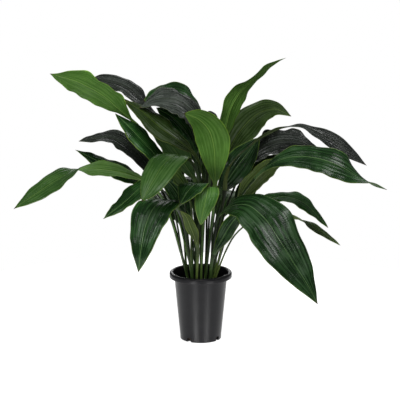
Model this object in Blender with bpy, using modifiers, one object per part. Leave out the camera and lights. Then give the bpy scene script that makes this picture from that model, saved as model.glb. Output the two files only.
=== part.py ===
"""Potted cast iron plant: a tapered nursery pot, its soil, and one solid for each leaf with its stalk.

The origin is the middle of the pot's underside. X is right, Y is back and Z is up, in metres.
Each leaf is one loft: a round stalk rises from a socket in the soil and flattens into the blade.
"""

import math
from typing import NamedTuple

import bmesh
import bpy
from mathutils import Matrix, Vector

OBJECT_NAME = "potted_cast_iron_plant"
CM = 0.01
SEAT_GAP = 0.0003
AROUND = 40

# Nursery pot
POT_HEIGHT = 0.188
BASE_RADIUS = 0.055
NECK_RADIUS = 0.0715
NECK_HEIGHT = 0.169
MOUTH_RADIUS = 0.074
LIP_RADIUS = 0.085
LIP_DROP = 0.015
WALL = 0.0022
FLOOR = 0.0030
NOTCHES = 4
NOTCH_WIDTH = 0.011
NOTCH_HEIGHT = 0.008
NOTCH_DEPTH = 0.010
FIRST_NOTCH_DEG = -125.0

# Potting soil
SOIL_TOP = 0.148
SOIL_CROWN = 0.004
SOCKET_DEPTH = 0.014
SOCKET_SIDES = 8

# Leaves
STALK_RADIUS = 0.0031
STALK_TOP_RADIUS = 0.0024
BLADE_THICKNESS = 0.0011
STALK_LEAN = 8.0
ROOT_SPACING = 0.011
STALK_RINGS = 5
BLADE_RINGS = 12
RING_SIDES = 8
BLADE_FULLNESS = 0.9
FLATTENING = 0.16
CHANNEL = 0.14


class Leaf(NamedTuple):
    """One leaf. Lengths are in centimetres and angles in degrees.

    heading is the way that the leaf points, from +X towards +Y. root is the column and row of the
    stalk's socket in the soil. width is the blade's greatest width, and widest is how far along
    the blade that lies, from 0 to 1. Each station is a point of the midrib, from the blade's foot
    to its tip, with the blade's roll there: a positive roll lifts the side on the left of someone
    who looks along the leaf.
    """

    name: str
    heading: float
    root: tuple
    width: float
    widest: float
    stations: tuple


LEAVES = (
    # left side
    Leaf("upper_left_leaf", 180, (-2, 1), 9.4, 0.56, (
        (-17, 0, 59.5, 45), (-21, -2, 63.6, 50), (-27, -5, 69.4, 55), (-33, -7, 73, 58),
        (-40, -9, 75.5, 50),
    )),
    Leaf("upper_left_dark_leaf", 180, (-1, 2), 8.5, 0.50, (
        (-12.5, 8.5, 61, -15), (-16, 9.5, 64.5, -20), (-20.5, 10.5, 68, -22),
        (-25.5, 11, 69.5, -22), (-30.5, 11, 70, -18),
    )),
    Leaf("slim_grey_leaf", 180, (-2, 2), 3.8, 0.50, (
        (-12, 3.5, 58.5, -15), (-16.5, 4, 62, -18), (-19.5, 4.5, 64.5, -15), (-23, 5, 66.5, -10),
    )),
    Leaf("mid_left_broad_leaf", 180, (-1, -1), 7.6, 0.50, (
        (-1.5, -3, 52, -30), (-6, -5, 56.5, -32), (-11, -4.5, 60, -35), (-15.5, -1.5, 63.5, -32),
        (-20.5, 2, 66, -25),
    )),
    Leaf("shaded_left_leaf", 180, (-2, 0), 7.8, 0.50, (
        (-7.5, -3, 47.5, -25), (-11.5, -4, 51.5, -30), (-15, -4, 55.5, -32), (-19, -3, 59.5, -35),
        (-23, -1, 63, -35),
    )),
    Leaf("grey_streaked_leaf", 180, (-3, 1), 7.4, 0.58, (
        (-11.5, 3, 42.5, -40), (-15.5, 4, 48, -38), (-19.5, 4, 52.5, -28), (-24, 4, 55, -16),
        (-28, 3, 55.2, -16), (-33, 2, 54.6, -16),
    )),
    Leaf("dark_left_leaf", 180, (-3, 0), 6.5, 0.45, (
        (-13.5, 1, 42, -30), (-19.5, 2, 45, -30), (-25, 2, 47.6, -30), (-29.5, 2, 50, -25),
        (-34, 2, 52.3, -20),
    )),
    Leaf("long_left_leaf", 180, (-3, -1), 7.6, 0.52, (
        (-13.5, -4, 44, 50), (-19.5, -6, 47.5, 52), (-26, -7, 49, 46), (-33, -8, 49.1, 14),
        (-38.5, -9, 46.5, -30), (-44, -10, 43, -38), (-50, -11, 39, -30),
    )),
    Leaf("lower_left_dark_leaf", 200, (-3, -2), 6.4, 0.45, (
        (-10.5, -5, 43, -20), (-15, -9, 45, -20), (-20, -12, 41.5, -22), (-26, -14, 37, -25),
    )),
    # front
    Leaf("front_left_bright_leaf", -115, (0, -2), 11.0, 0.60, (
        (-2, -5.5, 50, 0), (-5, -11, 53.5, 0), (-8, -17, 54.5, 4), (-10.5, -20, 52.5, 8),
        (-12.5, -22, 49.5, 10), (-15.5, -23, 44, 10),
    )),
    Leaf("front_left_hanging_leaf", -115, (-2, -3), 11.0, 0.42, (
        (-6, -7.5, 38, 0), (-9, -13, 42, 0), (-12.5, -18, 41, 0), (-14.5, -20, 37, 0),
        (-15.5, -22, 32.5, 0), (-16.5, -22, 24.5, 0),
    )),
    Leaf("low_slender_leaf", -110, (-1, -3), 3.4, 0.45, (
        (-1, -6, 28, 0), (-2.5, -8.5, 33, 0), (-4, -10.5, 37, 0), (-5.5, -12.5, 39, 0),
    )),
    Leaf("lower_centre_leaf", -110, (-1, -2), 7.4, 0.55, (
        (0, -7, 43.5, 0), (-0.5, -11, 46, 0), (-2.5, -15, 46, 0), (-4, -17, 44.5, 0),
        (-5.5, -18, 42, 0),
    )),
    Leaf("hanging_centre_leaf", -90, (0, -3), 6.2, 0.42, (
        (1.5, -10, 44, 0), (2, -13.5, 45.5, 0), (1.5, -16, 43.5, 0), (0.5, -17, 39.5, 0),
        (0, -17, 36, 0),
    )),
    Leaf("centre_broad_leaf", -90, (1, -2), 9.0, 0.60, (
        (3.8, -7, 43.5, 0), (3.8, -10, 50.5, 0), (3.5, -11, 56, 0), (2, -11.5, 61, -5),
        (-0.5, -11, 63.5, -15), (-4.5, -10, 65, -25),
    )),
    Leaf("front_right_broad_leaf", -40, (1, -3), 14.2, 0.49, (
        (5, -8.5, 36.5, 38), (8.5, -11.5, 40, 35), (12, -14, 41, 30), (16.5, -17, 38.5, 26),
        (21, -20, 32.5, 20), (25.5, -22, 25.5, 15), (28.5, -23, 21, 10), (31, -23, 16, 5),
    )),
    # middle and top
    Leaf("left_of_centre_leaf", 180, (0, 0), 9.6, 0.50, (
        (-1, 1, 49.5, -20), (-3, 1, 56, -25), (-6.5, 1.5, 60.5, -30), (-12, 1.5, 64, -30),
    )),
    Leaf("inner_left_leaf", 170, (-2, -1), 6.0, 0.50, (
        (-3.5, -5, 42, -20), (-5.5, -6, 46, -20), (-8, -7, 48.5, -20), (-11.5, -8, 48.5, -20),
    )),
    Leaf("inner_upper_left_leaf", 174, (-2, -2), 8.1, 0.50, (
        (-1.3, -0.4, 43.8, 70), (-4.6, 0.1, 49.2, 72), (-7.9, 0.5, 53.7, 75),
        (-11.1, 1, 56.8, 77), (-14.4, 1.4, 59, 80),
    )),
    Leaf("inner_low_left_leaf", 179, (-1, 0), 5.9, 0.50, (
        (-2.3, 0.8, 32.2, -74), (-5, 1, 38.1, -73), (-7.8, 1.1, 42.6, -71),
        (-10.5, 1.3, 45, -69), (-13.3, 1.5, 45.9, -68),
    )),
    Leaf("top_arching_leaf", 180, (0, 1), 10.6, 0.50, (
        (0.5, 3, 54, -10), (-2, 3, 62, -18), (-6.5, 2, 66, -22), (-11.5, 0.5, 66.5, -22),
        (-16.5, -1, 64.5, -18),
    )),
    Leaf("top_rear_leaf", 180, (0, 2), 9.5, 0.55, (
        (-0.2, 8, 56, -30), (-2, 8.5, 62.5, -30), (-6, 8, 65.8, -30), (-11, 6.5, 66.5, -30),
        (-15.5, 5, 65, -28),
    )),
    Leaf("small_bent_back_leaf", 180, (1, 2), 4.5, 0.45, (
        (3.2, 5.5, 53, 0), (4.6, 5.5, 57.5, 0), (4.2, 5.6, 60.6, 0), (2.4, 5.7, 61.8, 0), (0.6, 5.8, 61, 0),
    )),
    Leaf("tall_upright_leaf", 0, (1, 0), 5.8, 0.40, (
        (6, 0, 54, -50), (8, 1, 63.5, -55), (10.5, 2, 68, -52), (15, 3, 72, -30),
        (18.5, 4, 75, -36), (23, 5, 77, -40),
    )),
    # right side
    Leaf("top_right_dark_leaf", 0, (1, 1), 11.4, 0.52, (
        (6, 4, 46, 40), (9, 5, 54, 40), (12, 6, 58.2, 37), (15.5, 7, 61.1, 32), (20.3, 7, 62.4, 24),
        (24.6, 6, 60.6, 10),
    )),
    Leaf("long_arching_right_leaf", 0, (2, 0), 6.4, 0.74, (
        (6.5, -2, 42, -26), (7.5, -3, 48.5, -26), (12.5, -3, 54, -26), (20, -2, 58.5, -24),
        (26.5, -1, 59.5, -5), (32.5, 0, 57, 32), (39.2, 1, 52.6, 34), (45, 2, 47.8, 32),
    )),
    Leaf("crumpled_right_leaf", 0, (2, 1), 9.2, 0.60, (
        (9, 2, 41.5, 10), (12.5, 3, 48, 10), (16.5, 4, 52, 20), (21, 5, 54, 28), (26, 5, 54, 30),
        (32, 5, 51.5, 28),
    )),
    Leaf("broad_right_leaf", 0, (2, -1), 9.2, 0.56, (
        (14.5, -7, 46.5, 20), (19, -9, 51, 28), (25, -10, 53.2, 38), (31, -10, 52.7, 40),
        (37, -10, 50.6, 38), (43, -9, 46.8, 0), (50, -8, 43.5, -45),
    )),
    Leaf("inner_right_leaf", 0, (3, 0), 8.0, 0.50, (
        (9.5, -2, 38, -45), (13.5, -2, 43.5, -50), (18, -2, 48, -52), (23.5, -2, 51, -50),
    )),
    Leaf("inner_dark_leaf", 30, (2, 2), 6.0, 0.50, (
        (5.5, 3, 38, 0), (8, 3.5, 44, 0), (10.5, 3, 49, 0), (13, 2, 53, 0),
    )),
    Leaf("lower_right_dark_leaf", 0, (3, 1), 6.6, 0.52, (
        (12, -2, 37, 20), (17.5, -3, 39.6, 18), (22.5, -3, 40.5, 15), (28, -3, 38.6, 20),
        (31.5, -3, 35.1, 25), (34.5, -3, 31.7, 25),
    )),
    Leaf("slim_right_leaf", 0, (3, -1), 4.9, 0.60, (
        (11.5, -1, 31.5, -10), (17.5, 0, 34.5, -25), (24, 1, 34, -30), (30.5, 1, 31, 10),
        (38, 0, 26, 28),
    )),
    Leaf("inner_rear_right_leaf", 1, (2, 4), 6.2, 0.50, (
        (8.7, 5.1, 31.4, 48), (11.9, 5.4, 39.2, 51), (15.1, 5.8, 45.1, 53),
        (18.4, 6.1, 48.4, 56), (21.6, 6.5, 49.9, 59),
    )),
    Leaf("inner_upright_right_leaf", 4, (2, -2), 9, 0.50, (
        (5, -0.9, 40.5, 80), (7.7, -0.8, 45, 78), (10.4, -0.8, 49.1, 76),
        (13.2, -0.7, 52.9, 74), (15.9, -0.7, 56.4, 72),
    )),
    Leaf("low_right_leaf", 9, (2, -3), 5.6, 0.50, (
        (3.5, -5.6, 25, 70), (5.9, -5.5, 29.5, 72), (8.2, -5.4, 33.4, 74),
        (10.5, -5.3, 36.3, 76), (12.8, -5.2, 38.5, 78),
    )),
    # back
    Leaf("back_tall_leaf", 95, (0, 4), 9.0, 0.48, (
        (-0.5, 10, 44, 0), (-1, 15, 53, 5), (-2, 20, 56.5, 5), (-3, 27, 56, 5), (-4, 34, 51, 0),
    )),
    Leaf("back_centre_leaf", 90, (1, 4), 9.4, 0.46, (
        (2, 9, 40, 0), (3, 15, 47, -5), (3.5, 22, 49.5, -5), (4, 30, 46.5, 0), (3.5, 37, 40, 5),
    )),
    Leaf("back_right_leaf", 60, (2, 3), 9.0, 0.48, (
        (6, 7, 39, 0), (9, 12, 45, 8), (12, 18, 47, 10), (15, 24, 45, 5), (17.5, 30, 40, 0),
    )),
    Leaf("back_left_leaf", 120, (-2, 3), 9.0, 0.48, (
        (-5.5, 8, 39, 0), (-8, 13, 44.5, -8), (-11, 18, 47, -10), (-13.5, 24, 45, -5),
        (-15, 30, 40, 0),
    )),
    Leaf("back_low_left_leaf", 112, (-3, 2), 8.0, 0.44, (
        (-5, 8, 29, 0), (-8, 14, 34, 0), (-10.5, 21, 35.5, 0), (-12.5, 28, 33, 0),
        (-13.5, 34, 27, 0),
    )),
    Leaf("back_low_right_leaf", 70, (3, 2), 8.4, 0.44, (
        (5, 8, 30, 0), (7, 14, 35, 0), (9.5, 21, 36, 0), (12, 28, 32, 0), (14, 33, 26, 0),
    )),
    Leaf("back_short_leaf", 95, (-1, 4), 7.4, 0.46, (
        (-1.5, 9, 33, 0), (-2, 14, 39, 0), (-2, 19, 40.5, 0), (-2, 25, 37.5, 0), (-2, 30, 32, 0),
    )),
    Leaf("back_upright_leaf", 75, (1, 3), 7.4, 0.50, (
        (4, 9, 47, 0), (6, 13, 53.5, 0), (8.5, 18, 57, 0), (11, 23, 57, 0), (14, 28, 53.5, 0),
    )),
)


def clear_scene():
    for old in list(bpy.data.objects):
        bpy.data.objects.remove(old, do_unlink=True)


def new_collection(name):
    collection = bpy.data.collections.new(name)
    bpy.context.scene.collection.children.link(collection)
    return collection


def make_material(name, colour, roughness):
    material = bpy.data.materials.new(name)
    material.use_nodes = True
    shader = material.node_tree.nodes["Principled BSDF"]
    shader.inputs["Base Color"].default_value = (*colour, 1.0)
    shader.inputs["Roughness"].default_value = roughness
    shader.inputs["Metallic"].default_value = 0.0
    return material


def object_from_bmesh(name, shape, collection):
    mesh = bpy.data.meshes.new(name)
    shape.to_mesh(mesh)
    shape.free()
    made = bpy.data.objects.new(name, mesh)
    collection.objects.link(made)
    return made


def finish_solid(made, material):
    made.data.materials.append(material)
    made.data.shade_smooth()
    made.data.set_sharp_from_angle(angle=math.radians(40))


def cut_with(made, cutter):
    cutter.hide_render = True
    cutter.display_type = "WIRE"
    cut = made.modifiers.new("cut_" + cutter.name, "BOOLEAN")
    cut.operation = "DIFFERENCE"
    cut.object = cutter


# ---- turned shapes ----


def arc(centre, radius, start_deg, end_deg, pieces):
    """Points of an arc in the X-Z plane, both ends included."""
    points = []
    for i in range(pieces + 1):
        angle = math.radians(start_deg + (end_deg - start_deg) * i / pieces)
        points.append((centre[0] + radius * math.cos(angle), centre[1] + radius * math.sin(angle)))
    return points


def turned_solid(name, profile, collection):
    """Spins an X-Z profile, which runs from the axis out and back to the axis, once round Z."""
    shape = bmesh.new()
    corners = [shape.verts.new((x, 0.0, z)) for x, z in profile]
    for a, b in zip(corners, corners[1:]):
        shape.edges.new((a, b))
    made = object_from_bmesh(name, shape, collection)
    spin = made.modifiers.new("spin", "SCREW")
    spin.steps = AROUND
    spin.render_steps = AROUND
    spin.use_merge_vertices = True
    spin.merge_threshold = 0.0001
    return made


def pot_profile():
    """From the floor's inside, up the wall, over the hollow lip and down the outside."""
    lip_half = (LIP_RADIUS - MOUTH_RADIUS) / 2
    lip_middle = (MOUTH_RADIUS + lip_half, POT_HEIGHT - lip_half)
    lip_bottom = POT_HEIGHT - LIP_DROP
    profile = [
        (0.0, FLOOR),
        (BASE_RADIUS - WALL - 0.003, FLOOR),
        (BASE_RADIUS - WALL, FLOOR + 0.003),
        (NECK_RADIUS - WALL, NECK_HEIGHT),
    ]
    profile += arc(lip_middle, lip_half, 180, 0, 6)
    profile += [
        (LIP_RADIUS - 0.0004, lip_bottom + 0.002),
        (LIP_RADIUS - 0.0015, lip_bottom),
        (LIP_RADIUS - WALL, lip_bottom + 0.001),
    ]
    profile += arc(lip_middle, lip_half - WALL, 0, 150, 3)
    profile += [
        (NECK_RADIUS, NECK_HEIGHT - 0.001),
        (BASE_RADIUS + 0.0008, 0.004),
        (BASE_RADIUS - 0.0015, 0.0),
        (0.0, 0.0),
    ]
    return profile


def wall_inside_radius(height):
    """Radius of the pot's inside at a height on its straight wall."""
    low = BASE_RADIUS - WALL
    rise = (height - FLOOR - 0.003) / (NECK_HEIGHT - FLOOR - 0.003)
    return low + (NECK_RADIUS - WALL - low) * rise


def make_notch_cutter(cutters):
    """Boxes that open the corner between the pot's wall and floor, so that water drains."""
    shape = bmesh.new()
    for i in range(NOTCHES):
        turn = Matrix.Rotation(math.radians(FIRST_NOTCH_DEG + 360 * i / NOTCHES), 4, "Z")
        place = Matrix.Translation((BASE_RADIUS + 0.002, 0.0, 0.0))
        size = Matrix.Diagonal((2 * NOTCH_DEPTH, NOTCH_WIDTH, 2 * NOTCH_HEIGHT, 1.0))
        bmesh.ops.create_cube(shape, size=1.0, matrix=turn @ place @ size)
    return object_from_bmesh("drain_notches", shape, cutters)


def make_pot(parts, cutters):
    pot = turned_solid("nursery_pot", pot_profile(), parts)
    cut_with(pot, make_notch_cutter(cutters))
    finish_solid(pot, make_material("charcoal_plastic", (0.036, 0.036, 0.038), 0.5))


def make_soil(parts, cutters):
    """A plug of soil inside the pot, with a socket for each stalk."""
    bottom = FLOOR + SEAT_GAP
    corner = BASE_RADIUS - WALL - 0.003 - SEAT_GAP
    profile = [
        (0.0, SOIL_TOP + SOIL_CROWN),
        (0.030, SOIL_TOP + SOIL_CROWN * 0.8),
        (0.055, SOIL_TOP + SOIL_CROWN * 0.2),
        (wall_inside_radius(SOIL_TOP) - 2 * SEAT_GAP, SOIL_TOP),
        (wall_inside_radius(FLOOR + 0.003) - 2 * SEAT_GAP, FLOOR + 0.003),
        (corner - SEAT_GAP, bottom),
        (0.0, bottom),
    ]
    soil = turned_solid("potting_soil", profile, parts)
    shape = bmesh.new()
    reach = SOCKET_DEPTH + 2 * SOIL_CROWN
    for leaf in LEAVES:
        place = Matrix.Translation(
            (*root_place(leaf), SOIL_TOP - SOCKET_DEPTH - SEAT_GAP + reach / 2)
        )
        bmesh.ops.create_cone(
            shape,
            cap_ends=True,
            segments=SOCKET_SIDES,
            radius1=STALK_RADIUS + 2 * SEAT_GAP,
            radius2=STALK_RADIUS + 2 * SEAT_GAP,
            depth=reach,
            matrix=place,
        )
    cut_with(soil, object_from_bmesh("stalk_sockets", shape, cutters))
    finish_solid(soil, make_material("potting_soil", (0.020, 0.013, 0.008), 0.95))


# ---- leaves ----


def curve_through(knots, pieces):
    """A smooth curve through the knots, as many straight pieces as asked between each pair.

    A knot is a place with a roll as its fourth value. Only the place counts in the distance.
    """
    gaps = [(Vector(b[:3]) - Vector(a[:3])).length for a, b in zip(knots, knots[1:])]
    slopes = []
    for i, knot in enumerate(knots):
        if i == 0:
            slopes.append((knots[1] - knot) / gaps[0])
        elif i == len(knots) - 1:
            slopes.append((knot - knots[i - 1]) / gaps[-1])
        else:
            before = (knot - knots[i - 1]) / gaps[i - 1]
            after = (knots[i + 1] - knot) / gaps[i]
            slopes.append((before * gaps[i] + after * gaps[i - 1]) / (gaps[i - 1] + gaps[i]))
    points = []
    for i, gap in enumerate(gaps):
        leaving = slopes[i] * gap
        arriving = slopes[i + 1] * gap
        for k in range(pieces):
            points.append(hermite(knots[i], leaving, knots[i + 1], arriving, k / pieces))
    points.append(knots[-1])
    return points


def hermite(start, start_slope, end, end_slope, t):
    return (
        start * (2 * t**3 - 3 * t**2 + 1)
        + start_slope * (t**3 - 2 * t**2 + t)
        + end * (3 * t**2 - 2 * t**3)
        + end_slope * (t**3 - t**2)
    )


def root_place(leaf):
    """Where the leaf's socket is: the rows stand a little askew, as shoots do."""
    column, row = leaf.root
    return column * ROOT_SPACING + 0.0012 * (row % 2), row * ROOT_SPACING


def stalk_knots(leaf):
    """The stalk's middle line, from the top of its socket up to the foot of the blade."""
    collar = Vector((*root_place(leaf), SOIL_TOP + SOIL_CROWN))
    foot = Vector(leaf.stations[0][:3]) * CM
    onward = (Vector(leaf.stations[1][:3]) * CM - foot).normalized()
    span = (foot - collar).length
    rise = Vector((collar.x * STALK_LEAN, collar.y * STALK_LEAN, 1.0)).normalized()
    knots = [collar]
    for t in (0.3, 0.6, 0.85):
        knots.append(hermite(collar, rise * span, foot, onward * span * 0.6, t))
    return knots


def leaf_path(leaf):
    """(points, rolls, foot): a fine polyline of the leaf's middle, and where on it the blade starts."""
    pieces = 12
    stalk = stalk_knots(leaf)
    blade = [Vector(station[:3]) * CM for station in leaf.stations]
    rolls = [leaf.stations[0][3]] * len(stalk) + [station[3] for station in leaf.stations]
    knots = [Vector((*point, math.radians(roll))) for point, roll in zip(stalk + blade, rolls)]
    fine = curve_through(knots, pieces)
    return [Vector(p[:3]) for p in fine], [p[3] for p in fine], len(stalk) * pieces


def along(points, first, last, fraction):
    """(index, part) of the place that lies this fraction of the way from one point to another."""
    lengths = [(b - a).length for a, b in zip(points[first:last], points[first + 1 : last + 1])]
    wanted = fraction * sum(lengths)
    for i, length in enumerate(lengths):
        if wanted <= length or i == len(lengths) - 1:
            return first + i, min(wanted / length, 1.0)
        wanted -= length
    return last, 0.0


def frame_at(points, rolls, index, part, heading):
    """(middle, side, face) at a place on the path: side is the blade's left and face its upper side."""
    middle = points[index].lerp(points[index + 1], part)
    near = points[max(index - 1, 0)]
    far = points[min(index + 2, len(points) - 1)]
    forward = (far - near).normalized()
    left = Vector((-math.sin(heading), math.cos(heading), 0.0))
    side = (left - forward * left.dot(forward)).normalized()
    roll = rolls[index] + (rolls[index + 1] - rolls[index]) * part
    side = Matrix.Rotation(roll, 3, forward) @ side
    return middle, side, forward.cross(side)


def blade_width(s, widest):
    """Share of the greatest width at a fraction of the blade's length."""
    return math.sin(math.pi * s ** (math.log(0.5) / math.log(widest))) ** BLADE_FULLNESS


def ring_points(frame, half_width, half_thickness, channel):
    middle, side, face = frame
    points = []
    for k in range(RING_SIDES):
        angle = 2 * math.pi * k / RING_SIDES
        across = half_width * math.cos(angle)
        up = half_thickness * math.sin(angle) + channel * abs(across)
        points.append(middle + side * across + face * up)
    return points


def leaf_rings(leaf):
    points, rolls, foot = leaf_path(leaf)
    heading = math.radians(leaf.heading)
    left = Vector((-math.sin(heading), math.cos(heading), 0.0))
    upright = (left, Vector((0.0, 0.0, 1.0)).cross(left))
    root = points[0] - Vector((0.0, 0.0, SOCKET_DEPTH + SOIL_CROWN))
    rings = []
    for place in (root, points[0]):
        rings.append(ring_points((place, *upright), STALK_RADIUS, STALK_RADIUS, 0.0))
    for i in range(1, STALK_RINGS):
        fraction = i / STALK_RINGS
        index, part = along(points, 0, foot, fraction)
        radius = STALK_RADIUS + (STALK_TOP_RADIUS - STALK_RADIUS) * fraction
        rings.append(ring_points(frame_at(points, rolls, index, part, heading), radius, radius, 0.0))
    for i in range(BLADE_RINGS):
        s = i / BLADE_RINGS
        index, part = along(points, foot, len(points) - 1, s)
        flat = min(s / FLATTENING, 1.0)
        half_width = leaf.width * CM / 2 * blade_width(s, leaf.widest)
        half_width = max(half_width, STALK_TOP_RADIUS * (1 - flat))
        half_thickness = STALK_TOP_RADIUS + (BLADE_THICKNESS / 2 - STALK_TOP_RADIUS) * flat
        frame = frame_at(points, rolls, index, part, heading)
        rings.append(ring_points(frame, half_width, half_thickness, CHANNEL * flat))
    return rings, points[-1]


def loft(name, rings, tip, collection):
    """A closed skin over the rings.

    Its upper and lower faces are split along the same diagonals, so a thin twisted blade never
    crosses itself.
    """
    shape = bmesh.new()
    rows = [[shape.verts.new(point) for point in ring] for ring in rings]
    end = shape.verts.new(tip)
    shape.faces.new(list(reversed(rows[0])))
    for low, high in zip(rows, rows[1:]):
        for k in range(RING_SIDES):
            n = (k + 1) % RING_SIDES
            if k < RING_SIDES // 2:
                shape.faces.new((low[k], low[n], high[n]))
                shape.faces.new((low[k], high[n], high[k]))
            else:
                shape.faces.new((low[k], low[n], high[k]))
                shape.faces.new((low[n], high[n], high[k]))
    for k in range(RING_SIDES):
        shape.faces.new((rows[-1][k], rows[-1][(k + 1) % RING_SIDES], end))
    return object_from_bmesh(name, shape, collection)


def make_leaf(leaf, material, parts):
    rings, tip = leaf_rings(leaf)
    finish_solid(loft(leaf.name, rings, tip, parts), material)


def main():
    clear_scene()
    parts = new_collection(OBJECT_NAME)
    cutters = new_collection("cutters")
    make_pot(parts, cutters)
    make_soil(parts, cutters)
    leaf_green = make_material("leaf_green", (0.022, 0.058, 0.014), 0.35)
    for leaf in LEAVES:
        make_leaf(leaf, leaf_green, parts)


main()
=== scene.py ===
"""Looks of a potted cast iron plant: its leaves, its nursery pot, its soil and the studio round it.

Each leaf is laid over the frame. The rings of its solid give the middle line, the margins and the
way that the blade faces, and a finer skin with folds, waves and a rib is spread over them. The pot
and the soil are turned again from the boxes of their solids. Lengths are in metres.
"""

from __future__ import annotations

import logging
import math
from collections.abc import Callable
from dataclasses import dataclass, field
from enum import Enum

import bmesh
import bpy
import numpy as np
from mathutils import Matrix, Vector, noise


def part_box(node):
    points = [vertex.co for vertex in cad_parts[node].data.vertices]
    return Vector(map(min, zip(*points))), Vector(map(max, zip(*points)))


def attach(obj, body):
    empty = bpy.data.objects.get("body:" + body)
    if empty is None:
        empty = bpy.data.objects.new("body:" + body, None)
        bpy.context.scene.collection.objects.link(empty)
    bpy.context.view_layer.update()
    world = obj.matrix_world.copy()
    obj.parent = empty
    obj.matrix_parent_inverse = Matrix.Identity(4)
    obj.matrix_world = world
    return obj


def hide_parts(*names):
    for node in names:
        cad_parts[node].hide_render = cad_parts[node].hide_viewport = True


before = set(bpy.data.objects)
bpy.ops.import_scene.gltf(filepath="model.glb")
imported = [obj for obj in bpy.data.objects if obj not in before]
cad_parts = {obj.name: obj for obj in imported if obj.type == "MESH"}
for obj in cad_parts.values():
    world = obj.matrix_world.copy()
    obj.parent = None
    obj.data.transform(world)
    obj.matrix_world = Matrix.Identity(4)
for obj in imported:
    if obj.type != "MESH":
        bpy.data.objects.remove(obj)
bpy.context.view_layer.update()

MM = 0.001
JOIN_WITHIN = 0.02 * MM
log = logging.getLogger("cast_iron_plant")

Colour = tuple[float, float, float]
Point = tuple[float, float]
Socket = bpy.types.NodeSocket


def tint(red: int, green: int, blue: int) -> Colour:
    """Finds the linear colour of a paint chip.

    Args:
        red: The chip's red, from 0 to 255.
        green: The chip's green.
        blue: The chip's blue.

    Returns:
        The colour as a shader wants it.
    """
    chip = (red / 255, green / 255, blue / 255)
    return tuple(c / 12.92 if c <= 0.04045 else ((c + 0.055) / 1.055) ** 2.4 for c in chip)


def mesh_of(name: str, shape: bmesh.types.BMesh) -> bpy.types.Mesh:
    """Turns a shape into a mesh, and frees it.

    Args:
        name: The mesh's name.
        shape: The shape.

    Returns:
        The mesh.
    """
    mesh = bpy.data.meshes.new(name)
    shape.to_mesh(mesh)
    shape.free()
    return mesh


def shown(name: str, data: bpy.types.ID) -> bpy.types.Object:
    """Puts a mesh, a lamp or a camera into the scene.

    Args:
        name: The name of its object.
        data: What to put there.

    Returns:
        The object.
    """
    thing = bpy.data.objects.new(name, data)
    bpy.context.scene.collection.objects.link(thing)
    return thing


# ---------------------------------------------------------------- node trees


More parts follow.
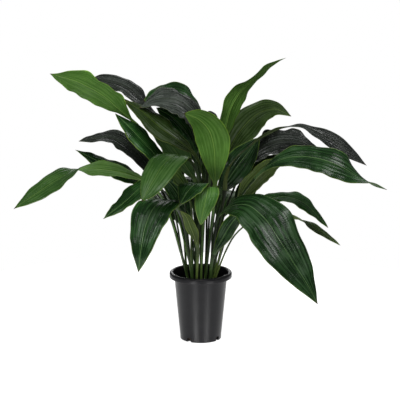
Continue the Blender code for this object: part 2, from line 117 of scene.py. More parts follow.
class Sheet:
    """Writes a node tree: each method adds one node and returns what it puts out."""

    def __init__(self, tree: bpy.types.NodeTree) -> None:
        """Takes the tree to write in.

        Args:
            tree: A material's or a group's node tree.
        """
        self.tree = tree

    def node(
        self, kind: str, feeds: dict[str | int, object] | None = None, **settings: object
    ) -> bpy.types.Node:
        """Adds a node.

        Args:
            kind: The node's class, without its ShaderNode prefix.
            feeds: What goes into each input: a socket to link, or a value.
            settings: The node's own properties.

        Returns:
            The node.
        """
        made = self.tree.nodes.new("ShaderNode" + kind)
        for name, value in settings.items():
            setattr(made, name, value)
        for name, value in (feeds or {}).items():
            self.feed(made.inputs[name], value)
        return made

    def feed(self, socket: Socket, value: object) -> None:
        """Links a socket, or sets its value.

        Args:
            socket: The input to fill.
            value: Another node's output, a number, a colour or a vector.
        """
        if isinstance(value, bpy.types.NodeSocket):
            self.tree.links.new(value, socket)
        elif isinstance(value, tuple) and socket.type == "RGBA":
            socket.default_value = (*value, 1.0)
        else:
            socket.default_value = value

    def math(self, operation: str, *terms: object, clamp: bool = False) -> Socket:
        """Returns the result of a sum on numbers, or on what other nodes put out."""
        made = self.node("Math", dict(enumerate(terms)), operation=operation, use_clamp=clamp)
        return made.outputs[0]

    def span(
        self, value: object, low: float, high: float, to: tuple[float, float] = (0.0, 1.0)
    ) -> Socket:
        """Maps a range smoothly onto another.

        Args:
            value: What to map.
            low: The start of its range.
            high: The end of its range, which may be under the start.
            to: What the start and the end become.

        Returns:
            The mapped value, kept within the new range.
        """
        feeds = {"Value": value, "From Min": low, "From Max": high, "To Min": to[0], "To Max": to[1]}
        return self.node("MapRange", feeds, interpolation_type="SMOOTHSTEP").outputs[0]

    def blend(self, share: object, first: object, second: object) -> Socket:
        """Returns a mix of two colours, of which the second has the given share."""
        return self.node("Mix", {0: share, 6: first, 7: second}, data_type="RGBA").outputs[2]

    def coat(self, colour: Socket, mask: Socket, share: float, paint: Colour) -> Socket:
        """Returns a colour with paint over it where a mask is, at most by the given share."""
        return self.blend(self.math("MULTIPLY", mask, share), colour, paint)

    def deepen(self, colour: Socket, shade: Socket) -> Socket:
        """Returns a colour at another brightness."""
        return self.node("VectorMath", {0: colour, 3: shade}, operation="SCALE").outputs[0]

    def grain(self, place: object, scale: object, detail: float = 2.0, rough: float = 0.5) -> Socket:
        """Adds a noise texture.

        Args:
            place: The vector that it is read at.
            scale: How many lumps there are in a metre.
            detail: How many finer layers it has.
            rough: How strong the finer layers are.

        Returns:
            The noise, about 0.5 on average.
        """
        feeds = {"Vector": place, "Scale": scale, "Detail": detail, "Roughness": rough}
        return self.node("TexNoise", feeds).outputs[0]

    def reading(self, name: str) -> Socket:
        """Returns a number that the mesh carries at each point."""
        return self.node("Attribute", attribute_name=name).outputs["Fac"]

    def place(self) -> Socket:
        """Returns the point's place in its object."""
        return self.node("TexCoord").outputs["Object"]

    def join(self, x: object, y: object, z: object = 0.0) -> Socket:
        """Returns a vector made of three numbers."""
        return self.node("CombineXYZ", {0: x, 1: y, 2: z}).outputs[0]

    def use(self, group: bpy.types.NodeTree, feeds: dict[str, object]) -> bpy.types.Node:
        """Places a node group.

        Args:
            group: The group.
            feeds: What goes into its named inputs.

        Returns:
            The group's node, whose outputs are read by name.
        """
        made = self.tree.nodes.new("ShaderNodeGroup")
        made.node_tree = group
        for name, value in feeds.items():
            self.feed(made.inputs[name], value)
        return made

    def bump(self, height: Socket, deep: float, strength: float = 1.0) -> Socket:
        """Turns a height into a normal.

        Args:
            height: The height, where 1 is the full depth.
            deep: That depth in metres.
            strength: How much of it shows.

        Returns:
            The bent normal.
        """
        feeds = {"Height": height, "Distance": deep, "Strength": strength}
        return self.node("Bump", feeds).outputs[0]


Sockets = dict[str, Socket]
GroupWriter = Callable[[Sheet, Sockets], Sockets]


class Effects:
    """The node groups that several finishes share. Each is built once."""

    def __init__(self) -> None:
        """Builds every group."""
        self.veins = self._group("parallel_veins", {"Share": 0.0, "Run": 0.0, "Count": 26.0}, self._veins)
        self.weave = self._group("cross_veins", {"Across": 0.0, "Run": 0.0, "Pitch": 5.5 * MM}, self._weave)
        self.marks = self._group(
            "rib_margin_and_tip",
            {"Across": 0.0, "Edge": 0.0, "Blade": 0.0, "Rib Width": 1.2 * MM, "Margin Width": 1.2 * MM},
            self._marks,
        )
        self.mottle = self._group("mottle", {"Place": None, "Patch": 18.0, "Speck": 260.0}, self._mottle)
        self.streaks = self._group("long_streaks", {"Share": 0.0, "Run": 0.0, "Lanes": 16.0}, self._streaks)
        self.wear = self._group("scuffs_and_dust", {"Place": None, "Scale": 60.0}, self._wear)

    @staticmethod
    def _group(name: str, inputs: dict[str, float | None], write: GroupWriter) -> bpy.types.NodeTree:
        """Makes a node group with named inputs and outputs.

        Args:
            name: The group's name.
            inputs: Each input's name and first value, or None for a vector.
            write: Adds the group's nodes and returns its outputs by name.

        Returns:
            The group.
        """
        group = bpy.data.node_groups.new(name, "ShaderNodeTree")
        for title, value in inputs.items():
            kind = "NodeSocketVector" if value is None else "NodeSocketFloat"
            socket = group.interface.new_socket(name=title, in_out="INPUT", socket_type=kind)
            if value is not None:
                socket.default_value = value
        entry = group.nodes.new("NodeGroupInput")
        found = write(Sheet(group), {title: entry.outputs[title] for title in inputs})
        for title in found:
            group.interface.new_socket(name=title, in_out="OUTPUT", socket_type="NodeSocketFloat")
        leave = group.nodes.new("NodeGroupOutput")
        for title, socket in found.items():
            group.links.new(socket, leave.inputs[title])
        return group

    @staticmethod
    def _veins(page: Sheet, given: Sockets) -> Sockets:
        """Draws lines that run the blade's length and meet at its ends, some stronger than the rest.

        Args:
            page: The group's tree.
            given: Share, from rib to margin; Run, along the leaf; and Count, the lines on a side.

        Returns:
            Fine and Strong, the masks of the two kinds of line, and Height.
        """
        sway = page.grain(page.join(page.math("MULTIPLY", given["Run"], 6.0), given["Share"]), 3.0)
        lane = page.math("MULTIPLY_ADD", page.math("ABSOLUTE", given["Share"]), given["Count"], sway)
        fine = page.math("PINGPONG", lane, 0.5)
        strong = page.math("PINGPONG", page.math("MULTIPLY", lane, 0.22), 0.5)
        height = page.math("MULTIPLY_ADD", strong, 1.1, page.math("MULTIPLY", fine, 0.6))
        lines = {"Fine": page.span(fine, 0.22, 0.0), "Strong": page.span(strong, 0.10, 0.0)}
        return {**lines, "Height": height}

    @staticmethod
    def _weave(page: Sheet, given: Sockets) -> Sockets:
        """Ripples the blade across its veins, which breaks a highlight into a weave.

        Args:
            page: The group's tree.
            given: Across and Run, in metres, and Pitch, from one ripple to the next.

        Returns:
            Height.
        """
        stray = page.grain(page.join(given["Across"], given["Run"]), 60.0, 3.0)
        phase = page.math("MULTIPLY_ADD", stray, 2.4, page.math("DIVIDE", given["Run"], given["Pitch"]))
        ripple = page.math("PINGPONG", phase, 0.5)
        lanes = page.math("PINGPONG", page.math("DIVIDE", given["Across"], given["Pitch"]), 0.5)
        return {"Height": page.math("ADD", ripple, lanes)}

    @staticmethod
    def _marks(page: Sheet, given: Sockets) -> Sockets:
        """Finds the midrib, the thin pale margin, the dry tip and the foot of the blade.

        Args:
            page: The group's tree.
            given: Across and Edge, the distances from the rib and the margin; Blade, the share of
                the blade's length; Rib Width and Margin Width.

        Returns:
            The masks Rib, Margin, Tip and Base.
        """
        aside = page.math("DIVIDE", page.math("ABSOLUTE", given["Across"]), given["Rib Width"])
        inside = page.math("DIVIDE", given["Edge"], given["Margin Width"])
        return {
            "Rib": page.span(aside, 1.6, 0.5),
            "Margin": page.span(inside, 1.5, 0.3),
            "Tip": page.span(given["Blade"], 0.965, 0.995),
            "Base": page.span(given["Blade"], 0.16, 0.02),
        }

    @staticmethod
    def _streaks(page: Sheet, given: Sockets) -> Sockets:
        """Streaks the blade lengthwise: broadly and softly, and with hairs that come and go.

        Args:
            page: The group's tree.
            given: Share, Run and Lanes, the broad streaks on a side.

        Returns:
            The masks Broad and Hairs, and Height.
        """
        lane = page.math("MULTIPLY", given["Share"], given["Lanes"])
        wide = page.join(lane, page.math("MULTIPLY", given["Run"], 9.0))
        thin = page.join(page.math("MULTIPLY", lane, 4.0), page.math("MULTIPLY", given["Run"], 30.0))
        broad = page.grain(wide, 0.55, 3.0, 0.6)
        hairs = page.grain(thin, 0.8, 3.0, 0.6)
        masks = {"Broad": page.span(broad, 0.36, 0.64), "Hairs": page.span(hairs, 0.52, 0.70)}
        return {**masks, "Height": hairs}

    @staticmethod
    def _mottle(page: Sheet, given: Sockets) -> Sockets:
        """Mottles a surface with broad uneven patches and fine specks.

        Args:
            page: The group's tree.
            given: Place, and how many patches and specks there are in a metre.

        Returns:
            The masks Patches and Specks.
        """
        patches = page.grain(given["Place"], given["Patch"], 3.0)
        specks = page.grain(given["Place"], given["Speck"])
        return {"Patches": page.span(patches, 0.33, 0.67), "Specks": page.span(specks, 0.35, 0.70)}

    @staticmethod
    def _wear(page: Sheet, given: Sockets) -> Sockets:
        """Finds where dust has settled, on what faces up, and where short scuffs are.

        Args:
            page: The group's tree.
            given: Place, and Scale, the clouds of dust in a metre.

        Returns:
            The masks Dust and Scuff.
        """
        up = page.node("SeparateXYZ", {0: page.node("NewGeometry").outputs["Normal"]}).outputs[2]
        cloud = page.grain(given["Place"], given["Scale"], 4.0)
        streak = page.grain(given["Place"], page.math("MULTIPLY", given["Scale"], 7.0))
        return {
            "Dust": page.math("MULTIPLY", page.span(up, 0.2, 0.9), page.span(cloud, 0.42, 0.72)),
            "Scuff": page.math("MULTIPLY", page.span(streak, 0.60, 0.72), page.span(cloud, 0.5, 0.62)),
        }


def new_material(name: str) -> tuple[bpy.types.Material, Sheet, bpy.types.Node]:
    """Starts a material.

    Args:
        name: Its name.

    Returns:
        The material, the sheet that writes its tree, and its main shader.
    """
    material = bpy.data.materials.new(name)
    material.use_nodes = True
    shader = material.node_tree.nodes["Principled BSDF"]
    return material, Sheet(material.node_tree), shader


# ---------------------------------------------------------------- finishes


class Tone(Enum):
    """How a leaf has aged, which sets the colours of its two faces. A dusky upper face is dark green with
    mostly painted sheen: its grey and its pale grey streaks and veins stand for a silver sheen.
    """

    FRESH = "fresh"
    DEEP = "deep"
    OLIVE = "olive"
    DUSKY = "dusky"


class Face(Enum):
    """Which of a leaf's materials a face wears."""

    UPPER = 0
    UNDER = 1
    STALK = 2


@dataclass(frozen=True)
class BladeFinish:
    """One face of a blade: its greens, its rib and margin lines, its painted shade towards the foot, and
    how it shines.

    The dark and the light green lie in patches and streaks. Shares say how much of a paint shows,
    counts are to a half blade, and patches and specks are to a metre.
    """

    name: str
    dark: Colour
    light: Colour
    vein: Colour
    rib: Colour
    margin: Colour
    roughness: float
    wax: float = 0.0
    shine: float = 0.35
    vein_share: float = 0.25
    vein_depth: float = 0.30 * MM
    weave_depth: float = 0.10 * MM
    streak: float = 0.12
    tip: Colour = tint(58, 42, 22)
    wax_roughness: float = 0.16
    speck_share: float = 0.12
    margin_share: float = 0.75
    rib_share: float = 0.7
    foot_share: float = 0.5
    # Painted shade: the colour darkens towards the blade's foot, where the leaves shade it, and is a little
    # lighter further out.
    painted_foot_shade: float = 0.55
    painted_shade_beyond_foot: float = 1.06
    painted_shade_run: float = 0.45
    rib_width: float = 0.8 * MM
    margin_width: float = 1.9 * MM
    weave_pitch: float = 5.5 * MM
    veins: float = 26.0
    streaks: float = 16.0
    patches: float = 22.0
    specks: float = 330.0

    def material(self, effects: Effects) -> bpy.types.Material:
        """Builds the face's material.

        Args:
            effects: The shared node groups.

        Returns:
            The material.
        """
        made, page, shader = new_material(self.name)
        share, across = page.reading("share"), page.reading("across")
        run, blade, edge = page.reading("run"), page.reading("blade"), page.reading("edge")
        veins = page.use(effects.veins, {"Share": share, "Run": run, "Count": self.veins}).outputs
        weave = page.use(effects.weave, {"Across": across, "Run": run, "Pitch": self.weave_pitch}).outputs
        widths = {"Rib Width": self.rib_width, "Margin Width": self.margin_width}
        marks = page.use(effects.marks, {"Across": across, "Edge": edge, "Blade": blade, **widths}).outputs
        sizes = {"Patch": self.patches, "Speck": self.specks}
        spots = page.use(effects.mottle, {"Place": page.place(), **sizes}).outputs
        streaks = page.use(effects.streaks, {"Share": share, "Run": run, "Lanes": self.streaks}).outputs

        patchy = page.math("MULTIPLY", spots["Patches"], 0.4)
        uneven = page.span(page.math("MULTIPLY_ADD", streaks["Broad"], 0.6, patchy), 0.25, 0.85)
        colour = page.blend(uneven, self.dark, self.light)
        # On a dusky upper face the pale grey vein colour of the hairs, veins and specks is painted sheen;
        # on other faces it is the blade's paler veins.
        for mask, most, paint in (
            (streaks["Hairs"], self.streak, self.vein),
            (veins["Fine"], self.vein_share / 2, self.vein),
            (veins["Strong"], self.vein_share, self.vein),
            (spots["Specks"], self.speck_share, self.vein),
            (marks["Margin"], self.margin_share, self.margin),
            (marks["Rib"], self.rib_share, self.rib),
            (marks["Base"], self.foot_share, self.rib),
        ):
            colour = page.coat(colour, mask, most, paint)
        colour = page.blend(marks["Tip"], colour, self.tip)
        # Painted shade: darker towards the blade's foot, where the leaves shade it.
        along = page.span(blade, 0.0, self.painted_shade_run, (self.painted_foot_shade, self.painted_shade_beyond_foot))
        shade = page.math("MULTIPLY", page.reading("shade"), along)
        page.feed(shader.inputs["Base Color"], page.deepen(colour, shade))

        rough = page.math("MULTIPLY_ADD", spots["Patches"], 0.20, self.roughness - 0.06)
        rough = page.math("MULTIPLY_ADD", streaks["Broad"], 0.12, rough)
        page.feed(shader.inputs["Roughness"], page.math("MULTIPLY_ADD", marks["Tip"], 0.3, rough))
        shader.inputs["Coat Weight"].default_value = self.wax
        shader.inputs["Coat Roughness"].default_value = self.wax_roughness
        gloss = page.span(page.math("MULTIPLY_ADD", spots["Patches"], 0.4, streaks["Broad"]), 0.3, 1.1)
        sheen = page.math("MULTIPLY_ADD", gloss, 1.3 * self.shine, 0.35 * self.shine)
        page.feed(shader.inputs["Specular IOR Level"], sheen)

        height = page.math("MULTIPLY", veins["Height"], self.vein_depth / MM)
        height = page.math("MULTIPLY_ADD", weave["Height"], self.weave_depth / MM, height)
        height = page.math("MULTIPLY_ADD", streaks["Height"], self.streak * 1.5, height)
        height = page.math("MULTIPLY_ADD", marks["Rib"], 0.25, height)
        page.feed(shader.inputs["Normal"], page.bump(height, MM))
        return made


@dataclass(frozen=True)
class StalkFinish:
    """A stalk: grooved, glossy, and with painted light that makes it paler green towards the soil."""

    name: str
    young: Colour
    old: Colour
    # Painted light: a paler green at the stalk's foot, down in the pot's shade; its specks take this colour
    # too.
    foot: Colour
    roughness: float = 0.34
    shine: float = 0.2
    grooves: float = 7.0
    groove_depth: float = 0.35 * MM
    groove_share: float = 0.35
    speck_share: float = 0.25
    painted_light_runs: tuple[float, float] = (0.03, 0.14)
    patches: float = 40.0
    specks: float = 420.0

    def material(self, effects: Effects) -> bpy.types.Material:
        """Builds the stalk's material.

        Args:
            effects: The shared node groups.

        Returns:
            The material.
        """
        made, page, shader = new_material(self.name)
        run, share = page.reading("run"), page.reading("share")
        sizes = {"Patch": self.patches, "Speck": self.specks}
        spots = page.use(effects.mottle, {"Place": page.place(), **sizes}).outputs
        grooves = page.use(effects.veins, {"Share": share, "Run": run, "Count": self.grooves}).outputs
        colour = page.blend(spots["Patches"], self.old, self.young)
        colour = page.coat(colour, grooves["Fine"], self.groove_share, self.old)
        # The specks take the pale foot green; towards the soil the whole stalk turns to it, and there it is
        # painted light.
        colour = page.coat(colour, spots["Specks"], self.speck_share, self.foot)
        below, above = self.painted_light_runs
        colour = page.blend(page.span(run, above, below), colour, self.foot)
        page.feed(shader.inputs["Base Color"], page.deepen(colour, page.reading("shade")))
        rough = page.math("MULTIPLY_ADD", spots["Specks"], 0.12, self.roughness - 0.05)
        page.feed(shader.inputs["Roughness"], rough)
        shader.inputs["Specular IOR Level"].default_value = self.shine
        height = page.math("MULTIPLY_ADD", spots["Specks"], 0.2, grooves["Height"])
        page.feed(shader.inputs["Normal"], page.bump(height, self.groove_depth, 0.6))
        return made


@dataclass(frozen=True)
class PotFinish:
    """Charcoal plastic with a fine moulded grain, a little dust on its lip and light scuffs."""

    body: Colour = tint(18, 18, 21)
    worn: Colour = tint(34, 34, 38)
    dust: Colour = tint(60, 57, 50)
    roughness: float = 0.33
    shine: float = 0.2
    patch_share: float = 0.18
    scuff_share: float = 0.35
    dust_share: float = 0.22
    grain_depth: float = 0.12 * MM
    clouds: float = 42.0
    patches: float = 30.0
    specks: float = 900.0

    def material(self, effects: Effects) -> bpy.types.Material:
        """Builds the plastic.

        Args:
            effects: The shared node groups.

        Returns:
            The material.
        """
        made, page, shader = new_material("charcoal_plastic")
        place = page.place()
        wear = page.use(effects.wear, {"Place": place, "Scale": self.clouds}).outputs
        sizes = {"Patch": self.patches, "Speck": self.specks}
        spots = page.use(effects.mottle, {"Place": place, **sizes}).outputs
        mottled = page.math("MULTIPLY", spots["Patches"], self.patch_share)
        colour = page.blend(mottled, self.body, self.worn)
        colour = page.coat(colour, wear["Scuff"], self.scuff_share, self.worn)
        colour = page.coat(colour, wear["Dust"], self.dust_share, self.dust)
        page.feed(shader.inputs["Base Color"], colour)
        rough = page.math("MULTIPLY_ADD", spots["Specks"], 0.08, self.roughness - 0.04)
        page.feed(shader.inputs["Roughness"], page.math("MULTIPLY_ADD", wear["Dust"], 0.25, rough))
        height = page.math("MULTIPLY_ADD", spots["Specks"], 0.6, page.math("MULTIPLY", wear["Scuff"], -0.5))
        page.feed(shader.inputs["Normal"], page.bump(height, self.grain_depth, 0.5))
        shader.inputs["Specular IOR Level"].default_value = self.shine
        return made


@dataclass(frozen=True)
class SoilFinish:
    """Damp peat with bark and a few pale grains."""

    peat: Colour = tint(34, 25, 19)
    crumb: Colour = tint(58, 42, 30)
    pale: Colour = tint(120, 104, 84)
    roughness: tuple[float, float] = (0.80, 0.96)
    pale_from: float = 0.955
    pale_to: float = 0.97
    speck_share: float = 0.3
    crumb_depth: float = 0.8 * MM
    crumbs: float = 420.0
    patches: float = 160.0
    specks: float = 900.0

    def material(self, effects: Effects) -> bpy.types.Material:
        """Builds the soil.

        Args:
            effects: The shared node groups.

        Returns:
            The material.
        """
        made, page, shader = new_material("peat_soil")
        place = page.place()
        sizes = {"Patch": self.patches, "Speck": self.specks}
        spots = page.use(effects.mottle, {"Place": place, **sizes}).outputs
        cells = page.node("TexVoronoi", {"Vector": place, "Scale": self.crumbs}).outputs
        chance = page.node("SeparateColor", {0: cells["Color"]}).outputs[0]
        colour = page.blend(spots["Patches"], self.peat, self.crumb)
        colour = page.blend(page.span(chance, self.pale_from, self.pale_to), colour, self.pale)
        colour = page.coat(colour, spots["Specks"], self.speck_share, self.peat)
        page.feed(shader.inputs["Base Color"], colour)
        page.feed(shader.inputs["Roughness"], page.span(spots["Patches"], 0.0, 1.0, self.roughness))
        height = page.math("MULTIPLY_ADD", spots["Specks"], 0.5, cells["Distance"])
        page.feed(shader.inputs["Normal"], page.bump(height, self.crumb_depth))
        return made


UPPER = {
    Tone.FRESH: BladeFinish(
        "fresh_upper_face", tint(50, 88, 36), tint(76, 117, 50), tint(98, 136, 64),
        tint(116, 150, 72), tint(128, 156, 56), 0.20, 0.10, 0.34, 0.13, 0.16 * MM, 0.16 * MM,
    ),
    Tone.DEEP: BladeFinish(
        "deep_upper_face", tint(11, 30, 12), tint(31, 66, 24), tint(50, 86, 38),
        tint(96, 128, 76), tint(104, 130, 46), 0.18, 0.10, 0.38, 0.16, 0.16 * MM, 0.18 * MM,
    ),
    Tone.OLIVE: BladeFinish(
        "olive_upper_face", tint(36, 54, 22), tint(50, 72, 28), tint(74, 96, 42),
        tint(104, 126, 54), tint(116, 138, 46), 0.22, 0.08, 0.34, 0.15, 0.18 * MM, 0.16 * MM,
    ),
    # Painted sheen, mostly: the grey light colour and the pale grey veins, laid in hairs and veins, stand
    # for the silver sheen on a dark green leaf.
    Tone.DUSKY: BladeFinish(
        "dusky_upper_face_painted_sheen", tint(7, 10, 7), tint(34, 40, 33), tint(84, 91, 84),
        tint(48, 56, 40), tint(66, 76, 46), 0.18, 0.15, 0.60, 0.30, 0.30 * MM, 0.12 * MM, 0.40,
    ),
}
UNDER = {
    Tone.FRESH: BladeFinish(
        "fresh_underside", tint(64, 102, 38), tint(82, 122, 48), tint(102, 140, 62),
        tint(128, 162, 76), tint(122, 156, 52), 0.48, 0.0, 0.14, 0.25,
    ),
    Tone.DEEP: BladeFinish(
        "deep_underside", tint(36, 62, 24), tint(50, 80, 32), tint(70, 100, 48),
        tint(96, 122, 64), tint(90, 116, 44), 0.48, 0.0, 0.18, 0.25,
    ),
    Tone.OLIVE: BladeFinish(
        "olive_underside", tint(54, 70, 27), tint(70, 90, 36), tint(90, 108, 50),
        tint(114, 132, 68), tint(108, 124, 48), 0.48, 0.0, 0.18, 0.25,
    ),
    Tone.DUSKY: BladeFinish(
        "dusky_underside", tint(42, 54, 28), tint(58, 72, 36), tint(80, 92, 52),
        tint(104, 118, 68), tint(96, 110, 48), 0.48, 0.0, 0.18, 0.3,
    ),
}
# Each stalk's third colour, its foot, is a paler green: painted light towards the soil, and the colour of
# its specks.
STALK = {
    Tone.FRESH: StalkFinish("fresh_stalk", tint(66, 100, 36), tint(36, 62, 24), tint(122, 156, 78)),
    Tone.DEEP: StalkFinish("deep_stalk", tint(24, 40, 18), tint(11, 20, 10), tint(78, 104, 54)),
    Tone.OLIVE: StalkFinish("olive_stalk", tint(56, 76, 28), tint(30, 46, 18), tint(122, 144, 74)),
    Tone.DUSKY: StalkFinish("dusky_stalk", tint(22, 30, 16), tint(12, 17, 10), tint(70, 84, 52)),
}


# ---------------------------------------------------------------- leaves


@dataclass(frozen=True)
class LeafLook:
    """What sets one leaf apart.

    Attributes:
        tone: Its colours.
        wave: How far its margins wave, in mm.
        turns: How many waves a margin has.
        curl: How far the margins turn down, as a share of the half width.
        crumple: How strong the blade's slow uneven swells are.
        phase: Where along the blade the waves start.
        hump: How much the margins' swells add to the width.
        pleat: How deep the pleats beside the rib are, in mm.
        wide: How wide its left and its right sides are, as shares of the solid's.
        full: How much wider its outer part gets.
        shade: How bright it is.
        top_shade: How much brighter its upper face is than its underside.
        fade: Painted shade on its outer half, which gets that much darker. Below 0, it is painted light,
            and the outer half gets brighter.
    """

    tone: Tone = Tone.DEEP
    wave: float = 3.0
    turns: float = 2.6
    curl: float = 0.10
    crumple: float = 1.0
    phase: float = 0.0
    hump: float = 0.03
    pleat: float = 0.6
    wide: tuple[float, float] = (1.0, 1.0)
    full: float = 0.0
    shade: float = 1.0
    top_shade: float = 1.0
    fade: float = 0.0


# After its tone, a row gives the leaf's wave, turns, curl, crumple, phase and at times its hump.
# A row's fade paints shade on the blade's outer half; a fade below 0 paints light there.
LOOKS: dict[str, LeafLook] = {
    # left side
    "upper_left_leaf": LeafLook(Tone.FRESH, 6.0, 2.2, 0.06, 1.5, 0.55, 0.09, wide=(1.0, 1.12), shade=1.3),
    "upper_left_dark_leaf": LeafLook(Tone.DUSKY, 4.0, 2.0, 0.12, 2.0, 0.2, pleat=1.0, shade=0.75),
    "slim_grey_leaf": LeafLook(Tone.DUSKY, 2.0, 2.0, 0.05, 1.0, 0.1, shade=0.5),
    "mid_left_broad_leaf": LeafLook(Tone.OLIVE, 3.0, 2.2, 0.12, 1.2, 0.7, shade=0.42),
    "shaded_left_leaf": LeafLook(Tone.DEEP, 3.0, 2.2, 0.12, 1.0, 0.4, wide=(0.94, 0.94), shade=1.05),
    "grey_streaked_leaf": LeafLook(Tone.DUSKY, 4.0, 2.6, 0.02, 1.4, 0.3, 0.06, pleat=0.9, shade=0.95),
    "dark_left_leaf": LeafLook(Tone.DEEP, 3.0, 2.4, 0.10, 1.0, 0.9, shade=0.6),
    "long_left_leaf": LeafLook(
        Tone.FRESH, 4.0, 3.0, 0.08, 1.5, 0.15, 0.05, wide=(1.12, 1.12), full=0.12, top_shade=0.36, fade=-0.4
    ),
    "lower_left_dark_leaf": LeafLook(Tone.DEEP, 3.0, 3.0, 0.10, 1.2, 0.35, shade=0.75),
    # front
    "front_left_bright_leaf": LeafLook(Tone.FRESH, 2.5, 2.0, 0.14, 1.0, 0.0, shade=0.3, fade=-0.75),
    "front_left_hanging_leaf": LeafLook(Tone.DEEP, 3.5, 2.4, 0.16, 1.2, 0.8),
    "low_slender_leaf": LeafLook(Tone.OLIVE, 1.5, 2.0, 0.10, 0.8, 0.6),
    "lower_centre_leaf": LeafLook(Tone.DEEP, 3.5, 2.4, 0.10, 1.2, 0.25),
    "hanging_centre_leaf": LeafLook(Tone.FRESH, 2.0, 2.0, 0.12, 1.0, 0.5, shade=0.74),
    "centre_broad_leaf": LeafLook(Tone.FRESH, 2.5, 1.8, 0.14, 1.0, 0.3, shade=0.86, fade=0.45),
    "front_right_broad_leaf": LeafLook(Tone.DEEP, 3.5, 2.8, 0.14, 1.2, 0.1, 0.04, shade=0.73),
    # middle and top
    "left_of_centre_leaf": LeafLook(Tone.DEEP, 3.0, 2.2, 0.14, 1.0, 0.65, wide=(1.05, 1.05)),
    "inner_left_leaf": LeafLook(Tone.OLIVE, 3.0, 2.6, 0.08, 1.2, 0.45),
    "inner_upper_left_leaf": LeafLook(Tone.DEEP, 3.0, 2.4, 0.10, 1.2, 0.4, wide=(0.82, 0.82)),
    "inner_low_left_leaf": LeafLook(Tone.DEEP, 2.0, 2.4, 0.10, 1.2, 0.2, wide=(0.88, 0.88)),
    "top_arching_leaf": LeafLook(
        Tone.DUSKY, 6.0, 2.6, 0.06, 2.2, 0.0, 0.06, pleat=1.2, wide=(1.45, 0.95), shade=1.25
    ),
    "top_rear_leaf": LeafLook(Tone.DEEP, 4.0, 2.6, 0.08, 1.6, 0.5, 0.05, pleat=0.7, shade=0.8),
    "small_bent_back_leaf": LeafLook(Tone.DUSKY, 2.0, 2.0, 0.08, 1.0, 0.2, pleat=0.9, shade=0.7),
    "tall_upright_leaf": LeafLook(Tone.FRESH, 2.5, 2.6, 0.10, 1.0, 0.75, 0.06, wide=(1.1, 1.1), shade=0.7),
    # right side
    "top_right_dark_leaf": LeafLook(Tone.OLIVE, 3.5, 2.2, 0.10, 1.2, 0.4, shade=0.5, fade=-0.2),
    "long_arching_right_leaf": LeafLook(
        Tone.DUSKY, 3.0, 3.2, 0.06, 1.5, 0.6, 0.05, pleat=0.9, wide=(0.85, 0.95), shade=0.88, fade=0.35
    ),
    "crumpled_right_leaf": LeafLook(
        Tone.DUSKY, 6.0, 4.4, 0.02, 3.5, 0.85, 0.07, pleat=1.2, wide=(1.0, 1.6), shade=0.7
    ),
    "broad_right_leaf": LeafLook(
        Tone.DEEP, 3.5, 3.2, 0.12, 1.4, 0.3, 0.04, full=0.35, shade=0.75, fade=-0.4
    ),
    "inner_right_leaf": LeafLook(Tone.OLIVE, 3.0, 2.4, 0.10, 1.2, 0.15),
    "inner_dark_leaf": LeafLook(Tone.DEEP, 3.0, 2.4, 0.10, 1.2, 0.55),
    "lower_right_dark_leaf": LeafLook(Tone.DEEP, 3.0, 2.6, 0.10, 1.2, 0.7, fade=-0.35),
    "slim_right_leaf": LeafLook(Tone.OLIVE, 2.0, 3.0, 0.08, 1.0, 0.25),
    "inner_rear_right_leaf": LeafLook(Tone.DEEP, 2.5, 2.4, 0.10, 1.2, 0.5, shade=0.6),
    "inner_upright_right_leaf": LeafLook(
        Tone.DEEP, 3.0, 2.4, 0.10, 1.2, 0.8, pleat=0.9, wide=(0.85, 0.85), shade=0.55
    ),
    "low_right_leaf": LeafLook(Tone.DEEP, 2.0, 2.2, 0.10, 1.0, 0.1, wide=(0.75, 0.75)),
    # back
    "back_tall_leaf": LeafLook(Tone.DEEP, 3.5, 2.4, 0.12, 1.2, 0.1),
    "back_centre_leaf": LeafLook(Tone.FRESH, 3.0, 2.2, 0.12, 1.0, 0.5, shade=0.6),
    "back_right_leaf": LeafLook(Tone.DEEP, 3.5, 2.8, 0.10, 1.4, 0.9),
    "back_left_leaf": LeafLook(Tone.OLIVE, 3.0, 2.6, 0.12, 1.2, 0.3),
    "back_low_left_leaf": LeafLook(Tone.DEEP, 3.0, 2.4, 0.12, 1.2, 0.6),
    "back_low_right_leaf": LeafLook(Tone.FRESH, 3.0, 2.6, 0.12, 1.0, 0.2, shade=0.7),
    "back_short_leaf": LeafLook(Tone.DEEP, 2.5, 2.2, 0.10, 1.0, 0.8),
    "back_upright_leaf": LeafLook(Tone.DUSKY, 4.0, 2.8, 0.08, 1.6, 0.4),
}


def unit(vectors: np.ndarray) -> np.ndarray:
    """Returns each row's vector at length 1."""
    return vectors / np.linalg.norm(vectors, axis=-1, keepdims=True)


def bands(index: np.ndarray) -> list[list[int]]:
    """Joins rings of points with bands of four-sided faces.

    Args:
        index: The points' numbers, a ring a row.

    Returns:
        The faces.
    """
    low, high = index[:-1], index[1:]
    quads = np.stack([low, np.roll(low, -1, 1), np.roll(high, -1, 1), high], axis=-1)
    return quads.reshape(-1, 4).tolist()


def ease(value: np.ndarray, start: float, run: float) -> np.ndarray:
    """Returns a smooth rise, from 0 at the start to 1 where the run ends."""
    share = np.clip((value - start) / run, 0.0, 1.0)
    return share * share * (3 - 2 * share)


